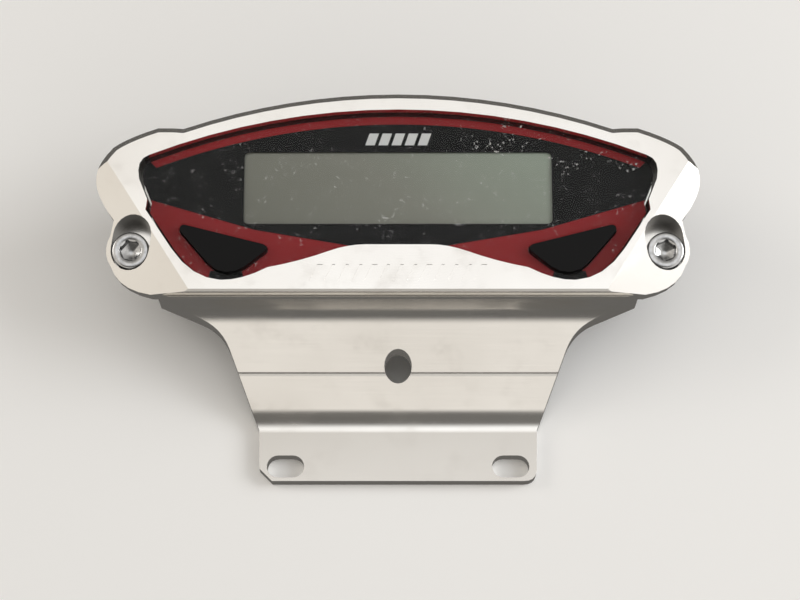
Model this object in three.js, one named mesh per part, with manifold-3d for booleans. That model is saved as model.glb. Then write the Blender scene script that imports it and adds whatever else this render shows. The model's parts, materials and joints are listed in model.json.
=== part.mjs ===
// A slim digital gauge for an off-road motorcycle, held in a guard bracket machined from one billet.
// Millimetres, +Z up. The origin is midway between the two fixing slots, on the underside of the
// flange; +Y points forward along the motorcycle and +X to the rider's right.
import * as THREE from "three";
import * as BufferGeometryUtils from "three/addons/utils/BufferGeometryUtils.js";
import Module from "manifold-3d";

const wasm = await Module();
wasm.setup();

// ---------------------------------------------------------------- driving dimensions
const GAP = 0.3; // free gap between touching pieces

// where the face of the gauge sits: x across, y up the face, z out of the face
const FACE_TILT = THREE.MathUtils.degToRad(8);
const FACE_Y = 66;
const FACE_Z = 42.5;

// guard ring, measured from the outer surface of the lens
const RING_TOP = 2.2;
const RING_BOTTOM = -10;
const RING_BEVEL = 1.6;
const LUG_BOTTOM = -14;
const LUG_RADIUS = 7;
const LUG_INSET = 0.4;
const OPENING_ARC = 180;
const OPENING_TOP = 21.3;
const OPENING_FLOOR = -15.8;
// right half of the opening's rim from the end of its top arc; the pulls bend the line between points
const OPENING = {
  arcEnd: 66.2,
  tipPull: [69.9, 7.4],
  tip: [68.7, 2.1],
  notch: [66.4, -3.5],
  ledge: [66.8, -6.3],
  hip: [59.7, -16.9],
  hipPull: [54.2, -25],
  heel: [46.6, -25.4],
  heelPull: [41.2, -25.6],
  rise: [34.3, -22],
  risePull: [25.8, -20.4],
  brow: [18.2, -17.6],
  browPull: 13.2,
  floorEnd: 8.5,
};
const OUTER_ARC = 175;
const OUTER_TOP = 26;
const APRON_EDGE = -28.4;
const APRON_BAR = { width: 124, depth: 2.9, chamfer: 0.6 };
// right half of the guard's outer edge from the end of its top arc
const OUTER = {
  arcEnd: 57.4,
  step: [60, 16.5],
  stepEnd: [64.2, 16.5],
  shoulderPull: [72.4, 13.8],
  shoulder: [76, 11.1],
  sidePull: [80.8, 6],
  side: [80.5, 1.6],
  waistPull: [80.2, -2.4],
  waist: [75.6, -8.4],
  screwReach: 6.7,
  screwSweep: THREE.MathUtils.degToRad(36),
  cornerPull: [74.6, -26.4],
  cornerEnd: 65.5,
};
const FLANK = { angle: THREE.MathUtils.degToRad(27), start: [76.9, 6.3], end: [54.6, APRON_EDGE] };
const GROOVE = {
  count: 13,
  pitch: 3.6,
  wide: 1.5,
  narrow: 0.8,
  slant: 1.1,
  low: -25.8,
  high: -21.2,
  depth: 0.35,
};

// neck and flange
const PLATE = 4;
const FLANGE_EDGE = -4.1;
const FLANGE_HALF = 37.9;
const BEND_START = 9.5;
const BEND_RADIUS = 9.3;
const NECK_ANGLE = Math.PI / 4;
const NECK_LENGTH = 25;
const COVE_RADIUS = 12;
const SLOT_SPACING = 61.6;
const SLOT_LENGTH = 10.2;
const SLOT_WIDTH = 6.2;
const WINDOW_BORE = 7.5;
const WINDOW_BORE_Y = 25;
const CREASE_Y = 23.3;
const CREASE = 0.85;
const FLANGE_CORNER = 3.5;
// right edge of the neck, seen from above, from the flange to the ring
const NECK_EDGE = {
  start: [38.2, 10.3],
  kink: [39.8, 14.3],
  waist: [45.6, 28.6],
  flarePull: [47.6, 33.3],
  flare: [53, 35.1],
  wing: [64, 38.8],
  wingEnd: [64, 50],
};
const NECK_WALL = { rise: 2.4, lean: 0.4, leanRise: 3.2, backLean: 1.4, backRise: 7 };

// side fixings: M6 socket cap screws
const SCREW_X = 71.2;
const SCREW_Y = -16.2;
const RECESS_DIAMETER = 10.8;
const RECESS_RISE = 3.4;
const SCREW_SEAT = -9;
const M6 = {
  shank: 6,
  head: 10,
  headHeight: 6,
  key: 5,
  keyDepth: 3.2,
  chamfer: 0.6,
  clearance: 6.8,
  length: 24,
};

// gauge, depths below the outer surface of the lens
const CASE_INSET = 0.6;
const WALL = 1.6;
const LENS_INSET = 0.5;
const FILM_INSET = 0.6;
const LENS_THICKNESS = 2;
const FILM_TOP = -2.3;
const FILM_THICKNESS = 0.4;
const DECK_TOP = -3;
const DECK_BOTTOM = -4.6;
const BOARD_TOP = -11.4;
const BOARD_BOTTOM = -13;
const FRAME_BOTTOM = -14;
const SEAL_BOTTOM = -15.5;
const CASE_TOP = -15.8;
const CASE_BOTTOM = -26;
const CASE_FLOOR = -24;
const WINDOW = { width: 82.4, height: 19.8, corner: 1.3, y: 0.8 };
const GLASS = { width: 86, height: 22.6, bottom: -5 };
const HOLDER = { width: 92, height: 24.4, wall: 1.6, top: -5.3, bottom: -11.1 };
const BACKLIGHT = { width: 84, height: 15.6, bottom: -8.9 };
const CONTACT_STRIP = { width: 84, height: 2.2, y: 9.3 };
const EAR = { top: -16.6, bottom: -19.6, radius: 7, hole: 11.4, rootX: 58, rootY: -10.2 };
const CASE_WALL = 2;
const SCREW_POST = 8;
const CASE_BOSS = 5.6;
const BOARD_BOSS = 4.6;
const PILOT_TOP = -7.6;
const BOARD_PILOT_TOP = -6.6;
const BOARD_SCREW_PASS = 6.4;

// cable gland under the rear case, round its own axis
const GLAND = { y: -4, collar: 14, collarHeight: 3, stem: 8.8, stemHeight: 4, bore: 5, inlet: 9.4 };

// what the circuit board carries, [x, y] being the middle of each
const CONTROLLER = { place: [-12, 2], size: [12, 12], height: 1.4 };
const DRIVER = { place: [10, 4], size: [9, 7], height: 1.2 };
const CAPACITOR = { place: [34, -4], diameter: 8, height: 7 };
const HEADER = { place: [0, -9], size: [16, 4.5], height: 6 };
const LAMP = { size: [2.8, 2.4], height: 1.8, light: 3.4 };
const BACKLIGHT_LAMP = { x: 38, size: [3, 2.8], height: 1.6 };
const BAFFLE = { reach: 5, width: 5.2, bore: 4.2 };

// push keys
const KEY_PROUD = 0.3;
const KEY_FLANGE = { margin: 0.9, room: 1.3, inside: 0.4 };
const KEY_POST = 3;
// the sharp corners of the right key, each with the radius that rounds it
const KEY_CORNERS = [[59.9, -9.1, 1.1], [33.5, -15.8, 1.1], [45.8, -25.5, 7]];
const KEY_CORNER_STEPS = 4;
const KEY_CENTRE = [46.6, -16.2];
const STEM = { diameter: 3.4, top: -6.3, bottom: -8.3 };
const SWITCH = { width: 6.2, top: -7.3, bottom: -11.1, bore: 4.1, floor: -9.8 };

// screws, lamps
const CASE_SCREW_PLACES = [
  [-30, 15.2], [30, 15.2],
  [-64.6, 2.4], [64.6, 2.4],
  [-29, -16.7], [29, -16.7],
];
const BOARD_SCREW_PLACES = [[-49.9, 8.2], [49.9, 8.2], [-60.2, -5.2], [60.2, -5.2]];
const CASE_SCREW = { shank: 2.6, head: 5, headHeight: 2.2, tip: -8.5, seat: -21.4 };
const BOARD_SCREW = { shank: 1.8, head: 3.8, headHeight: 1.4, tip: -7.4 };
const CROSS_WIDTH = 0.7;
const LAMP_X = [51.2, 56.6];
const LAMP_Y = 1.4;

// hardware below the side lugs
const BUSH = { diameter: 8, below: 2 };
const GROMMET_RADIUS = 6.6;
const WASHER = { diameter: 12, thickness: 1.6 };
const NUT = { acrossFlats: 10, height: 5, collar: 9, collarHeight: 1.4 };

const ROUND = 12; // sides of a small cylinder
const OVER = 1; // how far a cutting shape runs past what it cuts

// ---------------------------------------------------------------- materials
const finish = (color, roughness, metalness) => ({ color, roughness, metalness });
const FINISH = {
  aluminium: finish("#c9c6bf", 0.32, 1),
  zinc: finish("#b9bcc0", 0.25, 1),
  steel: finish("#9a9da1", 0.35, 1),
  lens: finish("#dfe3e2", 0.06, 0),
  print: finish("#1c1c1d", 0.35, 0),
  blackPlastic: finish("#1d1d1e", 0.55, 0),
  whitePlastic: finish("#e6e6e0", 0.5, 0),
  display: finish("#84866f", 0.18, 0),
  rubber: finish("#161616", 0.75, 0),
  board: finish("#1f5a35", 0.5, 0),
  chip: finish("#222326", 0.45, 0),
  lamp: finish("#e9e2b8", 0.25, 0),
};

// ---------------------------------------------------------------- solids
function toSolid(geometry) {
  let plain = geometry.index ? geometry.toNonIndexed() : geometry.clone();
  plain.deleteAttribute("normal");
  plain.deleteAttribute("uv");
  plain = BufferGeometryUtils.mergeVertices(plain, 1e-4);
  return new wasm.Manifold(new wasm.Mesh({
    numProp: 3,
    vertProperties: new Float32Array(plain.attributes.position.array),
    triVerts: new Uint32Array(plain.index.array),
  }));
}

function toGeometry(solid) {
  const mesh = solid.getMesh();
  const geometry = new THREE.BufferGeometry();
  const places = new Float32Array(mesh.vertProperties);
  geometry.setAttribute("position", new THREE.BufferAttribute(places, 3));
  geometry.setIndex(new THREE.BufferAttribute(new Uint32Array(mesh.triVerts), 1));
  geometry.computeVertexNormals();
  return geometry;
}

const join = (...geometries) => toGeometry(geometries.map(toSolid).reduce((a, b) => a.add(b)));
const cut = (body, ...tools) => toGeometry(
  tools.map(toSolid).reduce((a, b) => a.subtract(b), toSolid(body)));
const common = (a, b) => toGeometry(toSolid(a).intersect(toSolid(b)));

function toShape(points) {
  return new THREE.Shape(points.map(([x, y]) => new THREE.Vector2(x, y)));
}

function prism(points, bottom, top) {
  const depth = top - bottom;
  const geometry = new THREE.ExtrudeGeometry(toShape(points), { depth, bevelEnabled: false });
  return geometry.translate(0, 0, bottom);
}

function cylinder(x, y, diameter, bottom, top, sides = ROUND) {
  const geometry = new THREE.CylinderGeometry(diameter / 2, diameter / 2, top - bottom, sides);
  return geometry.rotateX(Math.PI / 2).translate(x, y, (top + bottom) / 2);
}

function block(x, y, width, height, bottom, top) {
  return new THREE.BoxGeometry(width, height, top - bottom).translate(x, y, (top + bottom) / 2);
}

// a profile of [radius, height] points spun round Z
function turned(profile, sides = ROUND) {
  const points = profile.map(([r, z]) => new THREE.Vector2(r, z));
  return new THREE.LatheGeometry(points, sides).rotateX(Math.PI / 2);
}

function roundedRectangle(width, height, radius, steps = 4) {
  const points = [];
  for (let corner = 0; corner < 4; corner += 1) {
    const cx = (corner === 0 || corner === 3 ? 1 : -1) * (width / 2 - radius);
    const cy = (corner < 2 ? 1 : -1) * (height / 2 - radius);
    for (let i = 0; i <= steps; i += 1) {
      const angle = (corner + i / steps) * Math.PI / 2;
      points.push([cx + radius * Math.cos(angle), cy + radius * Math.sin(angle)]);
    }
  }
  return points;
}

function obround(ax, ay, bx, by, width, steps = 10) {
  const along = Math.atan2(by - ay, bx - ax);
  const points = [];
  for (const [cx, cy, start] of [[bx, by, along - Math.PI / 2], [ax, ay, along + Math.PI / 2]]) {
    for (let i = 0; i <= steps; i += 1) {
      const angle = start + Math.PI * i / steps;
      points.push([cx + width / 2 * Math.cos(angle), cy + width / 2 * Math.sin(angle)]);
    }
  }
  return points;
}

// ---------------------------------------------------------------- outlines of the face
// the half outline runs clockwise from the top centre to the bottom centre, on the right
function mirrored(half) {
  const right = half.map((p) => [p.x, p.y]);
  const left = right.slice(1, -1).reverse().map(([x, y]) => [-x, y]);
  return [...right, ...left].reverse();
}

function samples(path, divisions) {
  const points = [];
  for (const curve of path.curves) {
    const count = curve.isLineCurve ? 1 : divisions;
    for (const point of curve.getPoints(count)) {
      const last = points[points.length - 1];
      if (!last || last.distanceTo(point) > 1e-3) {
        points.push(point);
      }
    }
  }
  return points;
}

function topArc(path, top, radius, endX) {
  const endAngle = Math.acos(endX / radius);
  path.absarc(0, top - radius, radius, Math.PI / 2, endAngle, true);
}

function openingOutline() {
  const arc = new THREE.Path();
  topArc(arc, OPENING_TOP, OPENING_ARC, OPENING.arcEnd);
  const start = arc.getPoint(1);
  const rest = new THREE.Path();
  rest.moveTo(start.x, start.y);
  rest.quadraticCurveTo(...OPENING.tipPull, ...OPENING.tip);
  rest.lineTo(...OPENING.notch);
  rest.lineTo(...OPENING.ledge);
  rest.lineTo(...OPENING.hip);
  rest.quadraticCurveTo(...OPENING.hipPull, ...OPENING.heel);
  rest.quadraticCurveTo(...OPENING.heelPull, ...OPENING.rise);
  rest.quadraticCurveTo(...OPENING.risePull, ...OPENING.brow);
  rest.quadraticCurveTo(OPENING.browPull, OPENING_FLOOR, OPENING.floorEnd, OPENING_FLOOR);
  rest.lineTo(0, OPENING_FLOOR);
  return mirrored([...samples(arc, 8), ...samples(rest, 4).slice(1)]);
}

function outerOutline() {
  const arc = new THREE.Path();
  topArc(arc, OUTER_TOP, OUTER_ARC, OUTER.arcEnd);
  const start = arc.getPoint(1);
  const rest = new THREE.Path();
  rest.moveTo(start.x, start.y);
  rest.lineTo(...OUTER.step);
  rest.lineTo(...OUTER.stepEnd);
  rest.quadraticCurveTo(...OUTER.shoulderPull, ...OUTER.shoulder);
  rest.quadraticCurveTo(...OUTER.sidePull, ...OUTER.side);
  rest.quadraticCurveTo(...OUTER.waistPull, ...OUTER.waist);
  const reach = OUTER.screwReach;
  const sweep = OUTER.screwSweep;
  rest.lineTo(SCREW_X + reach * Math.cos(sweep), SCREW_Y + reach * Math.sin(sweep));
  rest.absarc(SCREW_X, SCREW_Y, reach, sweep, -sweep, true);
  rest.quadraticCurveTo(...OUTER.cornerPull, OUTER.cornerEnd, APRON_EDGE);
  rest.lineTo(0, APRON_EDGE);
  return mirrored([...samples(arc, 8), ...samples(rest, 5).slice(1)]);
}

// moves every point of a closed anticlockwise outline inwards
function inset(points, distance) {
  const count = points.length;
  return points.map(([x, y], i) => {
    const [px, py] = points[(i + count - 1) % count];
    const [nx, ny] = points[(i + 1) % count];
    const before = new THREE.Vector2(x - px, y - py).normalize();
    const after = new THREE.Vector2(nx - x, ny - y).normalize();
    const normal = new THREE.Vector2(-(before.y + after.y), before.x + after.x).normalize();
    const spread = Math.max(0.5, normal.x * -after.y + normal.y * after.x);
    return [x + normal.x * distance / spread, y + normal.y * distance / spread];
  });
}

function keyOutline(side, margin) {
  const corners = KEY_CORNERS.map(([x, y]) => new THREE.Vector2(x, y));
  const points = [];
  for (let i = 0; i < 3; i += 1) {
    const corner = corners[i];
    const rounding = KEY_CORNERS[i][2];
    const radius = rounding + margin;
    const toLast = corners[(i + 2) % 3].clone().sub(corner).normalize();
    const toNext = corners[(i + 1) % 3].clone().sub(corner).normalize();
    const half = Math.acos(toLast.dot(toNext)) / 2;
    const inwards = toLast.clone().add(toNext).normalize();
    const centre = corner.clone().addScaledVector(inwards, rounding / Math.sin(half));
    const middle = Math.atan2(-inwards.y, -inwards.x);
    const sweep = Math.PI / 2 - half;
    for (let step = 0; step <= KEY_CORNER_STEPS; step += 1) {
      const angle = middle - sweep + 2 * sweep * step / KEY_CORNER_STEPS;
      points.push([side * (centre.x + radius * Math.cos(angle)), centre.y + radius * Math.sin(angle)]);
    }
  }
  return side > 0 ? points : points.reverse();
}

const opening = openingOutline();
const SIDES = [["left", -1], ["right", 1]];

// ---------------------------------------------------------------- guard bracket
const toRow = new THREE.Matrix4().makeRotationX(FACE_TILT).setPosition(0, FACE_Y, FACE_Z);

function ringBlank() {
  const depth = RING_TOP - RING_BOTTOM - 2 * RING_BEVEL;
  const geometry = new THREE.ExtrudeGeometry(toShape(outerOutline()), {
    depth,
    bevelThickness: RING_BEVEL,
    bevelSize: RING_BEVEL,
    bevelOffset: -RING_BEVEL,
    bevelSegments: 1,
  });
  return geometry.translate(0, 0, RING_BOTTOM + RING_BEVEL);
}

// a side view in Y and Z, drawn out along X about the middle
function across(shape, width) {
  const settings = { depth: width, bevelEnabled: false, curveSegments: 12 };
  const geometry = new THREE.ExtrudeGeometry(shape, settings).translate(0, 0, -width / 2);
  return geometry.applyMatrix4(new THREE.Matrix4().makeBasis(
    new THREE.Vector3(0, 1, 0), new THREE.Vector3(0, 0, 1), new THREE.Vector3(1, 0, 0),
  ));
}

// the apron's front edge, with a much finer chamfer than the rest of the ring
function apronBar() {
  const shape = new THREE.Shape();
  shape.moveTo(APRON_EDGE, RING_BOTTOM + RING_BEVEL);
  shape.lineTo(APRON_EDGE + APRON_BAR.depth, RING_BOTTOM + RING_BEVEL);
  shape.lineTo(APRON_EDGE + APRON_BAR.depth, RING_TOP);
  shape.lineTo(APRON_EDGE + APRON_BAR.chamfer, RING_TOP);
  shape.lineTo(APRON_EDGE, RING_TOP - APRON_BAR.chamfer);
  return across(shape, APRON_BAR.width);
}

// a wedge that slopes the outer flank away from the line between two points of the ring's top
function flankCutter(side) {
  const start = new THREE.Vector2(...FLANK.start);
  const end = new THREE.Vector2(...FLANK.end);
  const along = start.clone().sub(end).normalize();
  const geometry = new THREE.BoxGeometry(120, 60, 40).translate(0, 30, 20);
  geometry.rotateX(-FLANK.angle);
  geometry.rotateZ(Math.atan2(along.y, along.x) + Math.PI);
  geometry.translate((start.x + end.x) / 2, (start.y + end.y) / 2, RING_TOP);
  if (side > 0) {
    return geometry;
  }
  const flipped = geometry.scale(-1, 1, 1);
  const order = flipped.index.array;
  for (let i = 0; i < order.length; i += 3) {
    [order[i], order[i + 1]] = [order[i + 1], order[i]];
  }
  return flipped;
}

// plain slanted grooves across the apron, every fourth one wider
function apronGrooves() {
  const grooves = [];
  for (let i = 0; i < GROOVE.count; i += 1) {
    const x = (i - (GROOVE.count - 1) / 2) * GROOVE.pitch;
    const half = (i % 4 === 0 ? GROOVE.wide : GROOVE.narrow) / 2;
    const outline = [
      [x - GROOVE.slant - half, GROOVE.low],
      [x - GROOVE.slant + half, GROOVE.low],
      [x + GROOVE.slant + half, GROOVE.high],
      [x + GROOVE.slant - half, GROOVE.high],
    ];
    grooves.push(prism(outline, RING_TOP - GROOVE.depth, RING_TOP + OVER));
  }
  return grooves;
}

function guardRing() {
  const lugs = SIDES.map(([, side]) => common(
    cylinder(side * SCREW_X, SCREW_Y, 2 * LUG_RADIUS, LUG_BOTTOM, RING_BOTTOM + RING_BEVEL + 0.5, 24),
    prism(inset(outerOutline(), LUG_INSET), LUG_BOTTOM - OVER, RING_TOP),
  ));
  const recesses = SIDES.flatMap(([, side]) => {
    const x = side * SCREW_X;
    const mouth = obround(x, SCREW_Y, x - side * 0.7, SCREW_Y + RECESS_RISE, RECESS_DIAMETER, 12);
    return [
      prism(mouth, SCREW_SEAT, RING_TOP + OVER),
      cylinder(x, SCREW_Y, M6.clearance, LUG_BOTTOM - OVER, SCREW_SEAT + OVER),
    ];
  });
  const hole = prism(opening, LUG_BOTTOM - OVER, RING_TOP + OVER);
  const flanks = SIDES.map(([, side]) => flankCutter(side));
  const blank = join(ringBlank(), apronBar(), ...lugs);
  return cut(blank, hole, ...recesses, ...flanks, ...apronGrooves());
}

function neckProfile() {
  const shape = new THREE.Shape();
  const bendY = BEND_START + BEND_RADIUS * Math.sin(NECK_ANGLE);
  const bendZ = PLATE + BEND_RADIUS * (1 - Math.cos(NECK_ANGLE));
  const coveY = bendY + NECK_LENGTH * Math.cos(NECK_ANGLE);
  const coveZ = bendZ + NECK_LENGTH * Math.sin(NECK_ANGLE);
  const wallY = coveY + COVE_RADIUS * (1 - Math.cos(NECK_ANGLE));
  shape.moveTo(FLANGE_EDGE, PLATE);
  shape.lineTo(FLANGE_EDGE, 0);
  shape.lineTo(BEND_START, 0);
  shape.absarc(BEND_START, PLATE + BEND_RADIUS, BEND_RADIUS + PLATE, -Math.PI / 2, -NECK_ANGLE, false);
  const backY = wallY + PLATE;
  const underZ = shape.currentPoint.y + backY - shape.currentPoint.x;
  const wallZ = coveZ + COVE_RADIUS * Math.sin(NECK_ANGLE);
  shape.lineTo(backY, underZ);
  shape.lineTo(backY + NECK_WALL.backLean, underZ + NECK_WALL.backRise);
  shape.lineTo(wallY + NECK_WALL.lean, wallZ + NECK_WALL.leanRise);
  shape.lineTo(wallY, wallZ + NECK_WALL.rise);
  shape.absarc(wallY - COVE_RADIUS, wallZ, COVE_RADIUS, 0, -NECK_ANGLE, true);
  shape.absarc(BEND_START, PLATE + BEND_RADIUS, BEND_RADIUS, -NECK_ANGLE, -Math.PI / 2, true);
  return shape;
}

function neckPlan() {
  const corner = new THREE.Path();
  corner.moveTo(FLANGE_HALF - FLANGE_CORNER, FLANGE_EDGE);
  corner.quadraticCurveTo(FLANGE_HALF, FLANGE_EDGE, FLANGE_HALF, FLANGE_EDGE + FLANGE_CORNER);
  const flank = new THREE.Path();
  flank.moveTo(...NECK_EDGE.start);
  flank.lineTo(...NECK_EDGE.kink);
  flank.lineTo(...NECK_EDGE.waist);
  flank.quadraticCurveTo(...NECK_EDGE.flarePull, ...NECK_EDGE.flare);
  flank.lineTo(...NECK_EDGE.wing);
  flank.lineTo(...NECK_EDGE.wingEnd);
  const side = samples(flank, 6).map((p) => [p.x, p.y]);
  const otherSide = side.map(([x, y]) => [-x, y]).reverse();
  const rounded = samples(corner, 5).map((p) => [p.x, p.y]);
  const chamfered = [
    [-FLANGE_HALF, FLANGE_EDGE + FLANGE_CORNER],
    [-FLANGE_HALF + FLANGE_CORNER, FLANGE_EDGE],
  ];
  return [...rounded, ...side, ...otherSide, ...chamfered];
}

function guardNeck() {
  return common(across(neckProfile(), 2 * SCREW_X), prism(neckPlan(), -OVER, FACE_Z + RING_TOP));
}

// a fine ledge cut across the slope of the neck
function creaseGroove() {
  const slopeZ = CREASE_Y - BEND_START - BEND_RADIUS * Math.sin(NECK_ANGLE)
    + PLATE + BEND_RADIUS * (1 - Math.cos(NECK_ANGLE));
  const width = 2 * NECK_EDGE.wing[0];
  return block(0, CREASE_Y, width, CREASE, slopeZ - CREASE / 2, slopeZ + CREASE / 2);
}

function guardBracket() {
  const reach = (SLOT_LENGTH - SLOT_WIDTH) / 2;
  const slots = SIDES.map(([, side]) => {
    const x = side * SLOT_SPACING / 2;
    return prism(obround(x - reach, 0, x + reach, 0, SLOT_WIDTH), -OVER, PLATE + OVER);
  });
  const bore = cylinder(0, WINDOW_BORE_Y, WINDOW_BORE, -OVER, FACE_Z, 24);
  const ring = guardRing().applyMatrix4(toRow);
  const behind = prism(opening, -FACE_Y, RING_TOP + OVER).applyMatrix4(toRow);
  return cut(join(ring, cut(guardNeck(), behind)), ...slots, bore, creaseGroove());
}

// ---------------------------------------------------------------- gauge pieces
function frontFrame() {
  const blank = prism(inset(opening, CASE_INSET), FRAME_BOTTOM, DECK_TOP);
  const cavity = prism(inset(opening, CASE_INSET + WALL), FRAME_BOTTOM - OVER, DECK_BOTTOM);
  const over = DECK_TOP + OVER;
  const under = DECK_BOTTOM - OVER;
  const glassHole = block(0, 0, GLASS.width + 2 * GAP, GLASS.height + 2 * GAP, under, over);
  const keyHoles = SIDES.map(([, side]) => prism(keyOutline(side, KEY_FLANGE.room), under, over));
  const lampHoles = SIDES.flatMap(([, side]) => LAMP_X.map(
    (x) => cylinder(side * x, LAMP_Y, LAMP.light, under, over)));
  const shell = cut(blank, cavity, glassHole, ...keyHoles, ...lampHoles);
  const overlap = DECK_BOTTOM + (DECK_TOP - DECK_BOTTOM) / 2;
  const bosses = CASE_SCREW_PLACES.map(([x, y]) => cylinder(x, y, CASE_BOSS, FRAME_BOTTOM, overlap));
  const posts = BOARD_SCREW_PLACES.map(([x, y]) => cylinder(x, y, BOARD_BOSS, BOARD_TOP + GAP, overlap));
  const caseBore = CASE_SCREW.shank + 2 * GAP;
  const boardBore = BOARD_SCREW.shank + 2 * GAP;
  const pilots = [
    ...CASE_SCREW_PLACES.map(([x, y]) => cylinder(x, y, caseBore, FRAME_BOTTOM - OVER, PILOT_TOP)),
    ...BOARD_SCREW_PLACES.map(([x, y]) => cylinder(x, y, boardBore, BOARD_TOP - OVER, BOARD_PILOT_TOP)),
  ];
  return cut(join(shell, ...bosses, ...posts), ...pilots);
}

function lens() {
  const keyHoles = SIDES.map(([, side]) => prism(keyOutline(side, GAP), -LENS_THICKNESS - OVER, OVER));
  return cut(prism(inset(opening, LENS_INSET), -LENS_THICKNESS, 0), ...keyHoles);
}

function graphicFilm() {
  const bottom = FILM_TOP - FILM_THICKNESS;
  const under = bottom - OVER;
  const over = FILM_TOP + OVER;
  const rim = roundedRectangle(WINDOW.width, WINDOW.height, WINDOW.corner);
  const windowHole = prism(rim, under, over).translate(0, WINDOW.y, 0);
  const keyHoles = SIDES.map(([, side]) => prism(keyOutline(side, GAP), under, over));
  return cut(prism(inset(opening, FILM_INSET), bottom, FILM_TOP), windowHole, ...keyHoles);
}

function lcdHolder() {
  const { width, height, wall, top, bottom } = HOLDER;
  const hollow = block(0, 0, width - 2 * wall, height - 2 * wall, bottom - OVER, top + OVER);
  return cut(block(0, 0, width, height, bottom, top), hollow);
}

function circuitBoard() {
  const blank = prism(inset(opening, CASE_INSET + WALL + GAP), BOARD_BOTTOM, BOARD_TOP);
  const under = BOARD_BOTTOM - OVER;
  const over = BOARD_TOP + OVER;
  const bore = BOARD_SCREW.shank + 2 * GAP;
  const passes = CASE_SCREW_PLACES.map(([x, y]) => cylinder(x, y, BOARD_SCREW_PASS, under, over));
  const holes = BOARD_SCREW_PLACES.map(([x, y]) => cylinder(x, y, bore, under, over));
  return cut(blank, ...passes, ...holes);
}

function lampBaffle(side) {
  const [inner, outer] = LAMP_X;
  const middle = side * (inner + outer) / 2;
  const length = outer - inner + BAFFLE.reach;
  const blank = block(middle, LAMP_Y, length, BAFFLE.width, BOARD_TOP + GAP, DECK_BOTTOM - GAP);
  const tubes = LAMP_X.map(
    (x) => cylinder(side * x, LAMP_Y, BAFFLE.bore, BOARD_TOP - OVER, DECK_BOTTOM + OVER));
  return cut(blank, ...tubes);
}

function keyPad(side) {
  const cap = prism(keyOutline(side, 0), DECK_TOP - KEY_FLANGE.inside, KEY_PROUD);
  const flange = prism(keyOutline(side, KEY_FLANGE.margin), DECK_BOTTOM + KEY_FLANGE.inside, DECK_TOP);
  const post = cylinder(side * KEY_CENTRE[0], KEY_CENTRE[1], KEY_POST, STEM.top + GAP, DECK_BOTTOM + OVER);
  return join(cap, flange, post);
}

function keySwitch(side) {
  const [x, y] = [side * KEY_CENTRE[0], KEY_CENTRE[1]];
  const body = block(x, y, SWITCH.width, SWITCH.width, SWITCH.bottom, SWITCH.top);
  return cut(body, cylinder(x, y, SWITCH.bore, SWITCH.floor, SWITCH.top + OVER));
}

function caseSeal() {
  const top = FRAME_BOTTOM - GAP;
  const under = SEAL_BOTTOM - OVER;
  const bore = CASE_SCREW.shank + 2 * GAP;
  const blank = prism(inset(opening, CASE_INSET), SEAL_BOTTOM, top);
  const inside = prism(inset(opening, CASE_INSET + WALL), under, FRAME_BOTTOM);
  const tabs = CASE_SCREW_PLACES.map(([x, y]) => cylinder(x, y, CASE_BOSS, SEAL_BOTTOM, top));
  const ring = join(cut(blank, inside), ...tabs);
  const holes = CASE_SCREW_PLACES.map(([x, y]) => cylinder(x, y, bore, under, FRAME_BOTTOM));
  return cut(common(ring, blank), ...holes);
}

function ear(side) {
  const arm = obround(side * EAR.rootX, EAR.rootY, side * SCREW_X, SCREW_Y, 2 * EAR.radius, 8);
  return prism(arm, EAR.bottom, EAR.top);
}

function rearCase() {
  const under = CASE_BOTTOM - OVER;
  const over = CASE_TOP + OVER;
  const headBore = CASE_SCREW.head + 2 * GAP;
  const shankBore = CASE_SCREW.shank + 2 * GAP;
  const blank = prism(inset(opening, CASE_INSET), CASE_BOTTOM, CASE_TOP);
  const cavity = prism(inset(opening, CASE_INSET + CASE_WALL), CASE_FLOOR, over);
  const shell = cut(join(blank, ...SIDES.map(([, side]) => ear(side))), cavity);
  const pillars = CASE_SCREW_PLACES.map(([x, y]) => cylinder(x, y, SCREW_POST, CASE_FLOOR - OVER, CASE_TOP));
  const posts = common(join(...pillars), blank);
  const heads = CASE_SCREW_PLACES.map(([x, y]) => cylinder(x, y, headBore, under, CASE_SCREW.seat));
  const shanks = CASE_SCREW_PLACES.map(([x, y]) => cylinder(x, y, shankBore, under, over));
  const eyes = SIDES.map(
    ([, side]) => cylinder(side * SCREW_X, SCREW_Y, EAR.hole, EAR.bottom - OVER, EAR.top + OVER));
  const inlet = cylinder(0, GLAND.y, GLAND.inlet, under, CASE_FLOOR + OVER);
  return cut(join(shell, posts), ...heads, ...shanks, ...eyes, inlet);
}

// stands on its own axis, its collar outside the case and its stem in the inlet
function cableGland() {
  const { collar, collarHeight, stem, stemHeight, bore } = GLAND;
  const body = turned([
    [0, -collarHeight],
    [collar / 2, -collarHeight],
    [collar / 2, 0],
    [stem / 2, 0],
    [stem / 2, stemHeight],
    [0, stemHeight],
  ], 24);
  return cut(body, cylinder(0, 0, bore, -collarHeight - OVER, stemHeight + OVER));
}

// ---------------------------------------------------------------- fasteners
// screws stand head up on the origin: the seat of the head is at z = 0
function socketCapScrew() {
  const { shank, head, headHeight, key, keyDepth, length, chamfer } = M6;
  const body = turned([
    [0, -length],
    [shank / 2 - chamfer, -length],
    [shank / 2, -length + chamfer],
    [shank / 2, 0],
    [head / 2, 0],
    [head / 2, headHeight - chamfer],
    [head / 2 - chamfer, headHeight],
    [0, headHeight],
  ], 24);
  const corner = key / Math.sqrt(3);
  const socket = new THREE.CylinderGeometry(corner, corner, keyDepth + OVER, 6).rotateX(Math.PI / 2);
  return cut(body, socket.translate(0, 0, headHeight - (keyDepth - OVER) / 2));
}

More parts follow.
